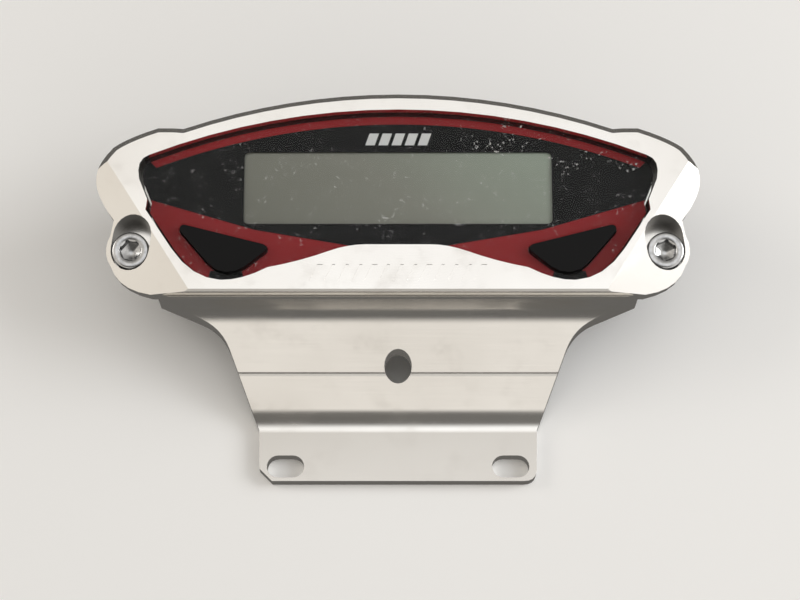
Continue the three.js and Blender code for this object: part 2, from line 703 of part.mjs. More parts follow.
function panHeadScrew({ shank, head, headHeight }, length) {
  const point = shank * 0.8;
  const body = turned([
    [0, -length],
    [shank / 2, -length + point],
    [shank / 2, 0],
    [head / 2, 0],
    [head / 2, headHeight * 0.55],
    [head * 0.34, headHeight],
    [0, headHeight],
  ]);
  const slot = head * 0.62;
  const depth = headHeight * 0.5;
  const bars = [
    block(0, 0, slot, CROSS_WIDTH, headHeight - depth, headHeight + OVER),
    block(0, 0, CROSS_WIDTH, slot, headHeight - depth, headHeight + OVER),
  ];
  return cut(body, ...bars);
}

// hangs from the origin, its locking collar at the bottom
function lockNut() {
  const { acrossFlats, height, collar, collarHeight } = NUT;
  const corner = acrossFlats / Math.sqrt(3);
  const hexagon = new THREE.CylinderGeometry(corner, corner, height, 6).rotateX(Math.PI / 2);
  const body = join(
    hexagon.translate(0, 0, -height / 2),
    cylinder(0, 0, collar, -height - collarHeight, -height / 2, 24),
  );
  return cut(body, cylinder(0, 0, M6.shank + 2 * GAP, -height - collarHeight - OVER, OVER, 24));
}

function tube(diameter, bottom, top) {
  return cut(
    cylinder(0, 0, diameter, bottom, top, 24),
    cylinder(0, 0, M6.shank + 2 * GAP, bottom - OVER, top + OVER, 24),
  );
}

function earGrommet(bottom, top) {
  const inner = BUSH.diameter / 2 + GAP;
  const waist = EAR.hole / 2 - GAP;
  return turned([
    [inner, bottom],
    [GROMMET_RADIUS, bottom],
    [GROMMET_RADIUS, EAR.bottom - GAP],
    [waist, EAR.bottom - GAP],
    [waist, EAR.top + GAP],
    [GROMMET_RADIUS, EAR.top + GAP],
    [GROMMET_RADIUS, top],
    [inner, top],
    [inner, bottom],
  ], 24);
}

// ---------------------------------------------------------------- assembly
const cluster = new THREE.Group();
const gauge = new THREE.Group();
gauge.position.set(0, FACE_Y, FACE_Z);
gauge.rotation.x = FACE_TILT;
cluster.add(gauge);

function piece(parent, name, geometry, look, x = 0, y = 0, z = 0) {
  const mesh = new THREE.Mesh(geometry, new THREE.MeshStandardMaterial(look));
  mesh.name = name;
  mesh.position.set(x, y, z);
  parent.add(mesh);
}

piece(cluster, "guard_bracket", guardBracket(), FINISH.aluminium);

piece(gauge, "lens", lens(), FINISH.lens);
piece(gauge, "graphic_film", graphicFilm(), FINISH.print);
piece(gauge, "front_frame", frontFrame(), FINISH.blackPlastic);
const glass = block(0, 0, GLASS.width, GLASS.height, GLASS.bottom, DECK_TOP);
piece(gauge, "lcd_glass", glass, FINISH.display);
piece(gauge, "lcd_holder", lcdHolder(), FINISH.whitePlastic);
const lightPanel = block(0, 0, BACKLIGHT.width, BACKLIGHT.height, BACKLIGHT.bottom, HOLDER.top);
piece(gauge, "backlight_panel", lightPanel, FINISH.whitePlastic);
for (const [name, sign] of [["top", 1], ["bottom", -1]]) {
  const { width, height, y } = CONTACT_STRIP;
  const strip = block(0, sign * y, width, height, HOLDER.bottom, HOLDER.top);
  piece(gauge, `contact_strip_${name}`, strip, FINISH.rubber);
}

piece(gauge, "circuit_board", circuitBoard(), FINISH.board);
const behindBoard = BOARD_BOTTOM - GAP;
const onBoard = ({ place, size, height }) => block(...place, ...size, behindBoard - height, behindBoard);
piece(gauge, "microcontroller", onBoard(CONTROLLER), FINISH.chip);
piece(gauge, "display_driver", onBoard(DRIVER), FINISH.chip);
const can = cylinder(...CAPACITOR.place, CAPACITOR.diameter, behindBoard - CAPACITOR.height, behindBoard, 24);
piece(gauge, "supply_capacitor", can, FINISH.zinc);
piece(gauge, "wire_header", onBoard(HEADER), FINISH.whitePlastic);

const aboveBoard = BOARD_TOP + GAP;
for (const [name, side] of SIDES) {
  piece(gauge, `key_pad_${name}`, keyPad(side), FINISH.rubber);
  const stem = cylinder(side * KEY_CENTRE[0], KEY_CENTRE[1], STEM.diameter, STEM.bottom, STEM.top);
  piece(gauge, `switch_stem_${name}`, stem, FINISH.whitePlastic);
  piece(gauge, `key_switch_${name}`, keySwitch(side), FINISH.chip);
  piece(gauge, `lamp_baffle_${name}`, lampBaffle(side), FINISH.blackPlastic);
  LAMP_X.forEach((x, i) => {
    const lamp = block(side * x, LAMP_Y, ...LAMP.size, aboveBoard, aboveBoard + LAMP.height);
    piece(gauge, `lamp_led_${name}_${i + 1}`, lamp, FINISH.lamp);
  });
  const { x, size, height } = BACKLIGHT_LAMP;
  const edgeLamp = block(side * x, 0, ...size, aboveBoard, aboveBoard + height);
  piece(gauge, `backlight_led_${name}`, edgeLamp, FINISH.lamp);
}

piece(gauge, "case_seal", caseSeal(), FINISH.rubber);
piece(gauge, "rear_case", rearCase(), FINISH.blackPlastic);
piece(gauge, "cable_gland", cableGland(), FINISH.rubber, 0, GLAND.y, CASE_BOTTOM - GAP);

CASE_SCREW_PLACES.forEach(([x, y], i) => {
  const screw = panHeadScrew(CASE_SCREW, CASE_SCREW.tip - CASE_SCREW.seat).rotateX(Math.PI);
  piece(gauge, `case_screw_${i + 1}`, screw, FINISH.zinc, x, y, CASE_SCREW.seat - GAP);
});
BOARD_SCREW_PLACES.forEach(([x, y], i) => {
  const screw = panHeadScrew(BOARD_SCREW, BOARD_SCREW.tip - BOARD_BOTTOM).rotateX(Math.PI);
  piece(gauge, `board_screw_${i + 1}`, screw, FINISH.zinc, x, y, behindBoard);
});

const bushTop = LUG_BOTTOM - GAP;
const bushBottom = EAR.bottom - BUSH.below;
const washerTop = bushBottom - GAP;
const nutTop = washerTop - WASHER.thickness - GAP;
for (const [name, side] of SIDES) {
  const x = side * SCREW_X;
  const bush = tube(BUSH.diameter, bushBottom, bushTop);
  const washer = tube(WASHER.diameter, washerTop - WASHER.thickness, washerTop);
  piece(gauge, `side_screw_${name}`, socketCapScrew(), FINISH.zinc, x, SCREW_Y, SCREW_SEAT + GAP);
  piece(gauge, `ear_bush_${name}`, bush, FINISH.steel, x, SCREW_Y);
  piece(gauge, `ear_grommet_${name}`, earGrommet(bushBottom, bushTop), FINISH.rubber, x, SCREW_Y);
  piece(gauge, `ear_washer_${name}`, washer, FINISH.zinc, x, SCREW_Y);
  piece(gauge, `ear_nut_${name}`, lockNut(), FINISH.zinc, x, SCREW_Y, nutTop);
}

export default cluster;
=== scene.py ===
"""An instrument cluster: a gauge in a billet guard that bolts to a fork clamp.

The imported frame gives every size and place. Each sub-assembly is a class that makes
its pieces in metres, where the frame has them, and gives them their finish.
"""

import json
import logging
import math
from dataclasses import dataclass, field
from enum import Enum
from typing import Any, Iterable, Optional, Sequence, Union

import bmesh
import bpy
import numpy as np
from mathutils import Matrix, Vector


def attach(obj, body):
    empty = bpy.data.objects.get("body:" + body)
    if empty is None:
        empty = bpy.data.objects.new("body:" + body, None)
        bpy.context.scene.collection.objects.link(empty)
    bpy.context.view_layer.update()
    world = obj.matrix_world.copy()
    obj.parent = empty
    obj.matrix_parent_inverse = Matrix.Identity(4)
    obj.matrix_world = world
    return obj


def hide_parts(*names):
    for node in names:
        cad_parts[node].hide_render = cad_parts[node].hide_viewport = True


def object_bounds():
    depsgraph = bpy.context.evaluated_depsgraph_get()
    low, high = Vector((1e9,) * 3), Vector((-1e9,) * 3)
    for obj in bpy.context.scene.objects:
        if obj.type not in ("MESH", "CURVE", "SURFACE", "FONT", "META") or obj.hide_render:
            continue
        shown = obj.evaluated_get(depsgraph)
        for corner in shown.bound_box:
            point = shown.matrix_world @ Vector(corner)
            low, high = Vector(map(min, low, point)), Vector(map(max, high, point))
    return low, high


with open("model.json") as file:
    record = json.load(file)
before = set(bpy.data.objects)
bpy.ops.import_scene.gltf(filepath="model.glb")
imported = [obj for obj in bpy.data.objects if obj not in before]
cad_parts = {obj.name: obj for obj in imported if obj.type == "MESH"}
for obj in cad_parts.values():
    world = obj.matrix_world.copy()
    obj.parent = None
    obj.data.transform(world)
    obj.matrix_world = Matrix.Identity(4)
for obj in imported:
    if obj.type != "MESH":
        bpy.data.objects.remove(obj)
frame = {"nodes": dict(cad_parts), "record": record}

CAD_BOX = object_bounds()
MILLIMETRE = 0.001
MERGE = 0.002 * MILLIMETRE
FLATNESS = 0.02 * MILLIMETRE
log = logging.getLogger("cluster")

FACING_CENTRE = -0.12

Colour = tuple[float, float, float]
Loop = list[tuple[float, float]]


class Body(Enum):
    """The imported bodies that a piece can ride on."""

    ROOT = "root"
    KEY_LEFT = "key_left"
    KEY_RIGHT = "key_right"


class Side(Enum):
    """The two halves of the face, as the rider sees them."""

    LEFT = -1
    RIGHT = 1

    @property
    def word(self) -> str:
        """The side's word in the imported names."""
        return self.name.lower()


# --------------------------------------------------------------------------- node trees


class Number:
    """A number that varies over a surface, with Python's arithmetic."""

    def __init__(self, bench: "Bench", socket: bpy.types.NodeSocket) -> None:
        """Wraps a socket.

        Args:
            bench: The node tree that the socket belongs to.
            socket: The socket that gives the number.
        """
        self.bench = bench
        self.socket = socket

    def worked(self, operation: str, *terms: Any, clamp: bool = False) -> "Number":
        """Adds one Math node.

        Args:
            operation: The Math node's operation.
            terms: What goes into it, in order.
            clamp: Whether the result is kept between 0 and 1.

        Returns:
            The node's result.
        """
        settings = {"operation": operation, "use_clamp": clamp}
        made = self.bench.node("ShaderNodeMath", settings, dict(enumerate(terms)))
        return Number(self.bench, made.outputs[0])

    def __add__(self, other: Any) -> "Number":
        """The sum."""
        return self.worked("ADD", self, other)

    def __radd__(self, other: Any) -> "Number":
        """The sum, from the right."""
        return self.worked("ADD", other, self)

    def __sub__(self, other: Any) -> "Number":
        """The difference."""
        return self.worked("SUBTRACT", self, other)

    def __rsub__(self, other: Any) -> "Number":
        """The difference, from the right."""
        return self.worked("SUBTRACT", other, self)

    def __mul__(self, other: Any) -> "Number":
        """The product."""
        return self.worked("MULTIPLY", self, other)

    def __rmul__(self, other: Any) -> "Number":
        """The product, from the right."""
        return self.worked("MULTIPLY", other, self)

    def __truediv__(self, other: Any) -> "Number":
        """The quotient."""
        return self.worked("DIVIDE", self, other)

    def __rtruediv__(self, other: Any) -> "Number":
        """The quotient, from the right."""
        return self.worked("DIVIDE", other, self)

    def __pow__(self, other: Any) -> "Number":
        """The power."""
        return self.worked("POWER", self, other)

    def kept(self) -> "Number":
        """The same number, kept between 0 and 1."""
        return self.worked("ADD", self, 0.0, clamp=True)

    def rises(self, low: float, high: float) -> "Number":
        """A smooth step over the number.

        Args:
            low: Where the step leaves 0.
            high: Where it reaches 1.

        Returns:
            A number from 0 to 1.
        """
        settings = {"interpolation_type": "SMOOTHSTEP"}
        values = {"Value": self, "From Min": low, "From Max": high}
        made = self.bench.node("ShaderNodeMapRange", settings, values)
        return Number(self.bench, made.outputs["Result"])


class Bench:
    """A node tree that is built step by step."""

    def __init__(self, tree: bpy.types.NodeTree) -> None:
        """Takes a tree to build in.

        Args:
            tree: A shader or geometry node tree.
        """
        self.tree = tree

    def node(
        self,
        kind: str,
        settings: Optional[dict[str, Any]] = None,
        values: Optional[dict[Union[str, int], Any]] = None,
    ) -> bpy.types.Node:
        """Adds a node.

        Args:
            kind: The node's type.
            settings: Its own settings, set first. "stops" are a colour ramp's.
            values: A value or a link for each socket, by name or number.

        Returns:
            The new node.
        """
        made = self.tree.nodes.new(kind)
        for name, value in (settings or {}).items():
            if name == "stops":
                self._stops(made.color_ramp, value)
            else:
                setattr(made, name, value)
        for key, value in (values or {}).items():
            self.join(value, made.inputs[key])
        return made

    def join(self, value: Any, socket: bpy.types.NodeSocket) -> None:
        """Gives a socket its value or its link.

        Args:
            value: A plain value, a socket or a Number.
            socket: The socket that takes it.
        """
        if isinstance(value, Number):
            self.tree.links.new(value.socket, socket)
        elif isinstance(value, bpy.types.NodeSocket):
            self.tree.links.new(value, socket)
        elif socket.type == "RGBA" and len(value) == 3:
            socket.default_value = (*value, 1.0)
        else:
            socket.default_value = value

    def number(self, socket: bpy.types.NodeSocket) -> Number:
        """Wraps a socket of this tree.

        Args:
            socket: The socket.

        Returns:
            The socket as a Number.
        """
        return Number(self, socket)

    @staticmethod
    def _stops(ramp: bpy.types.ColorRamp, stops: Sequence[tuple[float, Colour]]) -> None:
        """Sets a colour ramp's stops.

        Args:
            ramp: The ramp.
            stops: A place and a colour for each.
        """
        while len(ramp.elements) < len(stops):
            ramp.elements.new(1.0)
        for element, (place, colour) in zip(ramp.elements, stops):
            element.position = place
            element.color = (*colour, 1.0)


class Coat(Bench):
    """The node tree of one material."""

    def __init__(self, name: str) -> None:
        """Starts a material.

        Args:
            name: The material's name.
        """
        self.material = bpy.data.materials.new(name)
        self.material.use_nodes = True
        super().__init__(self.material.node_tree)
        self.tree.nodes.clear()
        self.place = self.node("ShaderNodeTexCoord").outputs["Object"]

    def axes(self) -> tuple[Number, Number, Number]:
        """The place on the piece, in metres, as three numbers."""
        split = self.node("ShaderNodeSeparateXYZ", values={0: self.place})
        return tuple(self.number(output) for output in split.outputs)

    def stretched(self, scale: Sequence[float], turn: float = 0.0) -> bpy.types.NodeSocket:
        """The place, stretched and turned about X.

        Args:
            scale: The stretch along X, Y and Z.
            turn: The turn about X, in radians.

        Returns:
            A vector socket.
        """
        turned = self.node(
            "ShaderNodeMapping", values={"Vector": self.place, "Rotation": (turn, 0.0, 0.0)}
        )
        made = self.node(
            "ShaderNodeMapping", values={"Vector": turned.outputs[0], "Scale": tuple(scale)}
        )
        return made.outputs[0]

    def noise(
        self,
        scale: float,
        detail: float = 2.0,
        roughness: float = 0.5,
        place: Optional[bpy.types.NodeSocket] = None,
    ) -> Number:
        """Soft random variation.

        Args:
            scale: How fine it is, in cells per metre of the place given.
            detail: How many finer layers it has.
            roughness: How strong those are.
            place: Where it is read, or the plain place.

        Returns:
            A number round 0.5.
        """
        values = {
            "Vector": place or self.place,
            "Scale": scale,
            "Detail": detail,
            "Roughness": roughness,
        }
        return self.number(self.node("ShaderNodeTexNoise", values=values).outputs[0])

    def cells(self, scale: float, feature: str = "F1", jitter: float = 1.0) -> Number:
        """The distance to the nearest of scattered points.

        Args:
            scale: How many cells there are per metre.
            feature: The Voronoi node's feature.
            jitter: How random the points are.

        Returns:
            The distance, in cells.
        """
        values = {"Vector": self.place, "Scale": scale, "Randomness": jitter}
        made = self.node("ShaderNodeTexVoronoi", {"feature": feature}, values)
        return self.number(made.outputs["Distance"])

    def tinted(self, factor: Any, low: Any, high: Any) -> bpy.types.NodeSocket:
        """A colour between two.

        Args:
            factor: 0 for the first and 1 for the second.
            low: The first colour.
            high: The second colour.

        Returns:
            A colour socket.
        """
        made = self.node("ShaderNodeMix", {"data_type": "RGBA"}, {0: factor, 6: low, 7: high})
        return made.outputs[2]

    def bumped(self, height: Number, depth: float, strength: float = 1.0) -> bpy.types.NodeSocket:
        """A normal that follows a height.

        Args:
            height: The height, from 0 to 1.
            depth: What 1 stands for, in metres.
            strength: How much of it is used.

        Returns:
            A normal socket.
        """
        values = {"Strength": strength, "Distance": depth, "Height": height}
        return self.node("ShaderNodeBump", values=values).outputs[0]

    def mask(self, name: str) -> Number:
        """A number that the mesh carries.

        Args:
            name: The attribute's name.

        Returns:
            Its value, or 0 where the mesh has none.
        """
        made = self.node("ShaderNodeAttribute", {"attribute_name": name})
        return self.number(made.outputs["Fac"])

    def edges(self) -> Number:
        """1 on an eased edge and 0 elsewhere."""
        return self.mask("wear")

    def facing(self) -> tuple[Number, Number, Number]:
        """The surface's own direction, as three numbers."""
        made = self.node("ShaderNodeTexCoord")
        split = self.node("ShaderNodeSeparateXYZ", values={0: made.outputs["Normal"]})
        return tuple(self.number(output) for output in split.outputs)

    def surface(self, values: dict[str, Any]) -> bpy.types.Node:
        """Adds the main shader.

        Args:
            values: Its sockets' values or links.

        Returns:
            The shader node.
        """
        return self.node("ShaderNodeBsdfPrincipled", values=values)

    def painted(
        self, colour: Any, roughness: Number, height: Number, depth: float, **others: Any
    ) -> bpy.types.Material:
        """Ends the material with one main shader over a fine relief.

        Args:
            colour: The base colour.
            roughness: How rough it is.
            height: The relief, from 0 to 1.
            depth: What 1 stands for, in metres.
            others: Other sockets, with _ for each space in their names.

        Returns:
            The finished material.
        """
        values = {name.replace("_", " "): value for name, value in others.items()}
        values |= {"Base Color": colour, "Roughness": roughness.kept()}
        values["Normal"] = self.bumped(height, depth)
        return self.done(self.surface(values).outputs[0])

    def done(self, shader: bpy.types.NodeSocket) -> bpy.types.Material:
        """Joins the last shader to the output.

        Args:
            shader: The shader's socket.

        Returns:
            The finished material.
        """
        self.node("ShaderNodeOutputMaterial", values={"Surface": shader})
        return self.material


# ------------------------------------------------------------------------------ finishes


@dataclass(frozen=True)
class Finish:
    """What every finish has: a name and the record's slot."""

    name: str
    slot: str

    def material(self) -> bpy.types.Material:
        """The finish's material, made once."""
        known = bpy.data.materials.get(self.name)
        return known or self.made()

    def made(self) -> bpy.types.Material:
        """Makes the material."""
        raise NotImplementedError


@dataclass(frozen=True)
class MilledAluminium(Finish):
    """Billet aluminium as the cutter left it, wiped but never polished."""

    bright: Colour = (0.93, 0.915, 0.885)
    dull: Colour = (0.85, 0.825, 0.785)
    # painted shade: the near-black colour of the screw recess walls
    grime: Colour = (0.05, 0.048, 0.045)
    lines_per_metre: float = 3000.0
    line_length: float = 0.02
    line_depth: float = 0.0011 * MILLIMETRE
    roughness: float = 0.15

    def made(self) -> bpy.types.Material:
        """Tool lines along the cut, stains, fine scratches, brighter edges and painted shade on the
        screw recess walls.
        """
        coat = Coat(self.name)
        lines = self._lines(coat)
        cloud = coat.noise(26.0, 3.0, 0.5).rises(0.3, 0.72)
        blotch = coat.noise(110.0, 4.0, 0.6).rises(0.5, 0.8)
        scratch = self._scratches(coat)
        edge = coat.edges()
        pits = (1 - coat.cells(700.0)).rises(0.955, 0.99)
        worn = (cloud * 0.45 + blotch * 0.35 + lines * 0.2).kept()
        tone = coat.tinted(worn, self.bright, self.dull)
        lit = coat.tinted((edge * 0.5 + scratch * 0.3).kept(), tone, (0.97, 0.965, 0.95))
        stained = coat.tinted(pits * 0.3, lit, (0.45, 0.42, 0.39))
        # painted shade: the marked recess walls are darkened, made less metallic and rougher
        recess_shade_mask = coat.mask("grime") * (0.88 + cloud * 0.1)
        recess_shaded = coat.tinted(recess_shade_mask, stained, self.grime)
        rough = self.roughness + lines * 0.07 + blotch * 0.06 + cloud * 0.04 + pits * 0.2
        rough = rough - edge * 0.06 + recess_shade_mask * 0.15
        height = lines * 0.8 + scratch * 0.6 - pits * 0.7
        return coat.painted(recess_shaded, rough, height, self.line_depth, Metallic=1 - recess_shade_mask * 0.5)

    def _lines(self, coat: Coat) -> Number:
        """The cutter's lines: straight on the neck and foot, sweeping on the face of the ring.

        Args:
            coat: The material's tree.

        Returns:
            Their height, from 0 to 1.
        """
        pitch, along = self.lines_per_metre, 1.0 / self.line_length
        straight = coat.noise(1.0, 1.0, 0.5, coat.stretched((along, pitch, pitch)))
        across, up_face, _ = coat.axes()
        reach = (across * across + (up_face - FACING_CENTRE) ** 2.0) ** 0.5
        step = reach * self.lines_per_metre * 0.8 + coat.noise(40.0, 1.0) * 0.6
        sweep = step.worked("SINE", step * math.tau) * 0.5 + 0.5
        _, _, upward = coat.facing()
        on_ring = upward.rises(0.975, 0.985) * up_face.rises(0.034, 0.036)
        return (straight * (1 - on_ring) + sweep * on_ring * 0.35 + 0.3 * on_ring).kept()

    @staticmethod
    def _scratches(coat: Coat) -> Number:
        """Sparse handling scratches.

        Args:
            coat: The material's tree.

        Returns:
            1 on a scratch and 0 elsewhere.
        """
        first = coat.noise(1.0, 2.0, 0.6, coat.stretched((160.0, 2600.0, 420.0), 0.35))
        second = coat.noise(1.0, 2.0, 0.6, coat.stretched((2300.0, 130.0, 900.0), -0.2))
        return (first.rises(0.72, 0.78) + second.rises(0.74, 0.8)).kept()


@dataclass(frozen=True)
class Plating(Finish):
    """Bright plating on a turned or pressed part."""

    bright: Colour = (0.62, 0.625, 0.63)
    dull: Colour = (0.4, 0.405, 0.415)
    # painted shade: the dark colour of marked socket walls
    grime: Colour = (0.04, 0.04, 0.042)
    roughness: float = 0.13
    rings_per_metre: float = 5200.0
    ring_depth: float = 0.0015 * MILLIMETRE

    def made(self) -> bpy.types.Material:
        """Fine turning rings, cloudy plating, dull specks and painted shade on marked socket walls."""
        coat = Coat(self.name)
        cloud = coat.noise(700.0, 3.0, 0.6)
        rings = coat.noise(1.0, 1.0, 0.5, coat.stretched((300.0, 300.0, self.rings_per_metre), 0.14))
        specks = (1 - coat.cells(2600.0)).rises(0.9, 0.97)
        plain = coat.tinted((cloud.rises(0.35, 0.7) * 0.6 + specks * 0.4).kept(), self.bright, self.dull)
        # painted shade: marked socket walls are darkened
        tone = coat.tinted(coat.mask("grime") * 0.9, plain, self.grime)
        rough = self.roughness + cloud * 0.12 + specks * 0.15
        return coat.painted(tone, rough, rings + cloud * 0.6, self.ring_depth, Metallic=1.0)


@dataclass(frozen=True)
class MouldedPlastic(Finish):
    """Injection-moulded plastic with an eroded grain."""

    colour: Colour = (0.018, 0.018, 0.019)
    worn: Colour = (0.06, 0.06, 0.062)
    roughness: float = 0.48
    grain_per_metre: float = 2200.0
    grain_depth: float = 0.01 * MILLIMETRE
    index: float = 1.5

    def made(self) -> bpy.types.Material:
        """Grain, flow clouds, rubbed edges and a few fine scuffs."""
        coat = Coat(self.name)
        grain = coat.noise(self.grain_per_metre, 3.0, 0.65)
        cells = coat.cells(self.grain_per_metre * 0.8, "SMOOTH_F1")
        flow = coat.noise(60.0, 2.0, 0.5)
        scuff = coat.noise(1.0, 2.0, 0.6, coat.stretched((220.0, 1900.0, 700.0), 0.3)).rises(0.69, 0.78)
        worn = (coat.edges() * 0.55 + scuff * 0.35).kept()
        tone = coat.tinted(worn * (0.4 + flow * 0.9), self.colour, self.worn)
        rough = self.roughness + grain * 0.14 - worn * 0.08 + (flow - 0.5) * 0.1
        height = grain * 0.6 + cells * 0.4
        return coat.painted(tone, rough, height, self.grain_depth, IOR=self.index)


@dataclass(frozen=True)
class Ink(Finish):
    """Screen-printed ink on the back of the face film."""

    colour: Colour = (0.0085, 0.0085, 0.009)
    thin: Colour = (0.0125, 0.0125, 0.013)
    roughness: float = 0.5
    shaded: float = 0.0
    mesh_depth: float = 0.0006 * MILLIMETRE
    index: float = 1.12

    def made(self) -> bpy.types.Material:
        """An even ink with a faint mesh, slight clouds and painted shade darkening the tips."""
        coat = Coat(self.name)
        across, _, _ = coat.axes()
        mesh = coat.cells(3600.0, jitter=0.25)
        cloud = coat.noise(90.0, 3.0, 0.5)
        tone = coat.tinted((cloud * 0.8 + mesh * 0.25).kept(), self.colour, self.thin)
        # painted shade: the ink darkens towards both outer tips by the shaded share
        outward = across.worked("ABSOLUTE", across).rises(0.045, 0.068)
        dark = tuple(part * 0.35 for part in self.colour)
        tipped = coat.tinted(outward * self.shaded, tone, dark)
        rough = self.roughness + mesh * 0.06 + cloud * 0.05
        return coat.painted(tipped, rough, mesh, self.mesh_depth, IOR=self.index)


@dataclass(frozen=True)
class ClearLens(Finish):
    """Clear acrylic: what is behind shows, its gloss mirrors the light, and dust lies on it."""

    index: float = 1.49
    coating: float = 0.13
    dust: Colour = (0.62, 0.61, 0.58)

    def made(self) -> bpy.types.Material:
        """Gloss by angle over a see-through sheet, with dust and hairline scratches."""
        coat = Coat(self.name)
        across, along, _ = coat.axes()
        specks = coat.noise(1150.0, 1.0, 0.4).rises(0.655, 0.72)
        corner = across.rises(0.005, 0.04) * along.rises(0.069, 0.078)
        few = coat.noise(170.0, 2.0, 0.6).rises(0.48, 0.66)
        dusty = (specks * (few * 0.2 + few * corner * 0.8)).kept()
        hair = coat.noise(1.0, 2.0, 0.6, coat.stretched((120.0, 2600.0, 300.0), 0.5)).rises(0.72, 0.8)
        haze = coat.noise(55.0, 3.0, 0.5)
        gloss = self._gloss(coat)
        shader = coat.surface(
            {
                "Base Color": coat.tinted(dusty, (1.0, 1.0, 1.0), self.dust),
                "Metallic": (1 - dusty).kept(),
                "Roughness": (0.05 + haze * 0.05 + hair * 0.2 + dusty * 0.6).kept(),
                "Normal": coat.bumped(haze + hair * 0.5, 0.004 * MILLIMETRE),
            }
        )
        clear = coat.node("ShaderNodeBsdfTransparent", values={"Color": (0.985, 0.99, 0.985)})
        factor = (gloss + dusty * 0.85 + hair * 0.03).kept()
        mixed = coat.node(
            "ShaderNodeMixShader", values={0: factor, 1: clear.outputs[0], 2: shader.outputs[0]}
        )
        return coat.done(mixed.outputs[0])

    def _gloss(self, coat: Coat) -> Number:
        """How much of the light the surface mirrors through its anti-glare coating.

        Args:
            coat: The material's tree.

        Returns:
            The share, by the angle of view.
        """
        plain = coat.node("ShaderNodeFresnel", values={"IOR": self.index}).outputs[0]
        return coat.number(plain) * self.coating


@dataclass(frozen=True)
class DisplayCell(Finish):
    """A reflective liquid-crystal cell with nothing shown on it."""

    # painted reflection: the cell runs from shade through middle to lit across its width
    shade: Colour = (0.112, 0.114, 0.09)
    middle: Colour = (0.19, 0.194, 0.162)
    lit: Colour = (0.285, 0.345, 0.285)
    cell_depth: float = 0.001 * MILLIMETRE

    def made(self) -> bpy.types.Material:
        """An olive grey that brightens and turns cooler across the cell as a painted reflection, a fine
        cell pattern and a pale rim as a painted highlight on the glass edge.
        """
        coat = Coat(self.name)
        across, along, _ = coat.axes()
        reflection_slope = ((across + 0.043) / 0.086 * 0.75 + (along - 0.055) / 0.023 * 0.25).kept()
        ramp = {"stops": ((0.0, self.shade), (0.5, self.middle), (1.0, self.lit))}
        tone = coat.node("ShaderNodeValToRGB", ramp, {0: reflection_slope}).outputs[0]
        weave = coat.cells(3400.0, jitter=0.1)
        cloud = coat.noise(45.0, 2.0, 0.5)
        grey = coat.tinted((cloud.rises(0.3, 0.75) * 0.12 + weave * 0.06).kept(), tone, (0.1, 0.1, 0.08))
        # painted highlight: the eased glass edge is painted pale
        rim_highlight = coat.tinted((coat.edges() * 0.8).kept(), grey, (0.5, 0.52, 0.5))
        rough = 0.3 + cloud * 0.12 + weave * 0.05
        gloss = {"IOR": 1.5, "Coat_Weight": 0.6, "Coat_Roughness": 0.12}
        return coat.painted(rim_highlight, rough, weave, self.cell_depth, **gloss)


@dataclass(frozen=True)
class Elastomer(Finish):
    """Moulded rubber, matt and a little dusty."""

    colour: Colour = (0.02, 0.02, 0.021)
    bloom: Colour = (0.085, 0.083, 0.08)
    roughness: float = 0.72

    def made(self) -> bpy.types.Material:
        """Fine pitting, a grey bloom and paler rubbed edges."""
        coat = Coat(self.name)
        pit = coat.noise(3200.0, 3.0, 0.6)
        bloom = coat.noise(120.0, 4.0, 0.6).rises(0.42, 0.78)
        tone = coat.tinted((bloom * 0.55 + coat.edges() * 0.3).kept(), self.colour, self.bloom)
        rough = self.roughness + bloom * 0.15 + pit * 0.08
        return coat.painted(tone, rough, pit, 0.02 * MILLIMETRE, IOR=1.45)


@dataclass(frozen=True)
class BoardLaminate(Finish):
    """Glass-fibre laminate under green solder mask, with copper runs beneath it."""

    mask: Colour = (0.012, 0.105, 0.045)
    copper: Colour = (0.05, 0.24, 0.1)

    def made(self) -> bpy.types.Material:
        """Straight copper runs that show through the mask, and the weave of the glass."""
        coat = Coat(self.name)
        blocks = {"Vector": coat.place, "Scale": 420.0, "Randomness": 0.9}
        runs = coat.node("ShaderNodeTexVoronoi", {"distance": "CHEBYCHEV"}, blocks)
        wave = coat.number(runs.outputs["Distance"])
        tracks = (wave * 6.0).worked("FRACT", wave * 6.0).rises(0.55, 0.62)
        weave = coat.cells(1500.0, jitter=0.05)
        vias = (1 - coat.cells(380.0)).rises(0.955, 0.97)
        tone = coat.tinted(tracks * 0.75, self.mask, self.copper)
        dotted = coat.tinted(vias, tone, (0.55, 0.5, 0.36))
        rough = 0.3 + weave * 0.12 + tracks * 0.05
        height = tracks + weave * 0.3 + vias
        return coat.painted(dotted, rough, height, 0.02 * MILLIMETRE, Metallic=vias * 0.8, IOR=1.5)


@dataclass(frozen=True)
class Lamp(Finish):
    """A small light-emitting diode's resin, paler over its chip."""

    colour: Colour = (0.78, 0.74, 0.45)
    chip: Colour = (0.92, 0.86, 0.3)

    def made(self) -> bpy.types.Material:
        """Cloudy resin with fine bubbles."""
        coat = Coat(self.name)
        cloud = coat.noise(900.0, 3.0, 0.6)
        beads = (1 - coat.cells(4200.0)).rises(0.85, 0.95)
        tone = coat.tinted(cloud.rises(0.35, 0.65), self.colour, self.chip)
        rough = 0.18 + cloud * 0.15 + beads * 0.2
        return coat.painted(tone, rough, cloud + beads, 0.01 * MILLIMETRE, IOR=1.5)


@dataclass(frozen=True)
class ContactRubber(Finish):
    """Layered contact rubber: black conducting layers between pale ones."""

    dark: Colour = (0.02, 0.02, 0.02)
    pale: Colour = (0.55, 0.42, 0.38)
    layers_per_metre: float = 1100.0

    def made(self) -> bpy.types.Material:
        """Stripes across the strip's length."""
        coat = Coat(self.name)
        across, _, _ = coat.axes()
        step = across * self.layers_per_metre
        stripe = step.worked("FRACT", step).rises(0.42, 0.58)
        pit = coat.noise(2500.0, 2.0, 0.5)
        tone = coat.tinted(stripe, self.dark, self.pale)
        height = pit + stripe * 0.4
        return coat.painted(tone, 0.6 + pit * 0.2, height, 0.01 * MILLIMETRE, IOR=1.45)


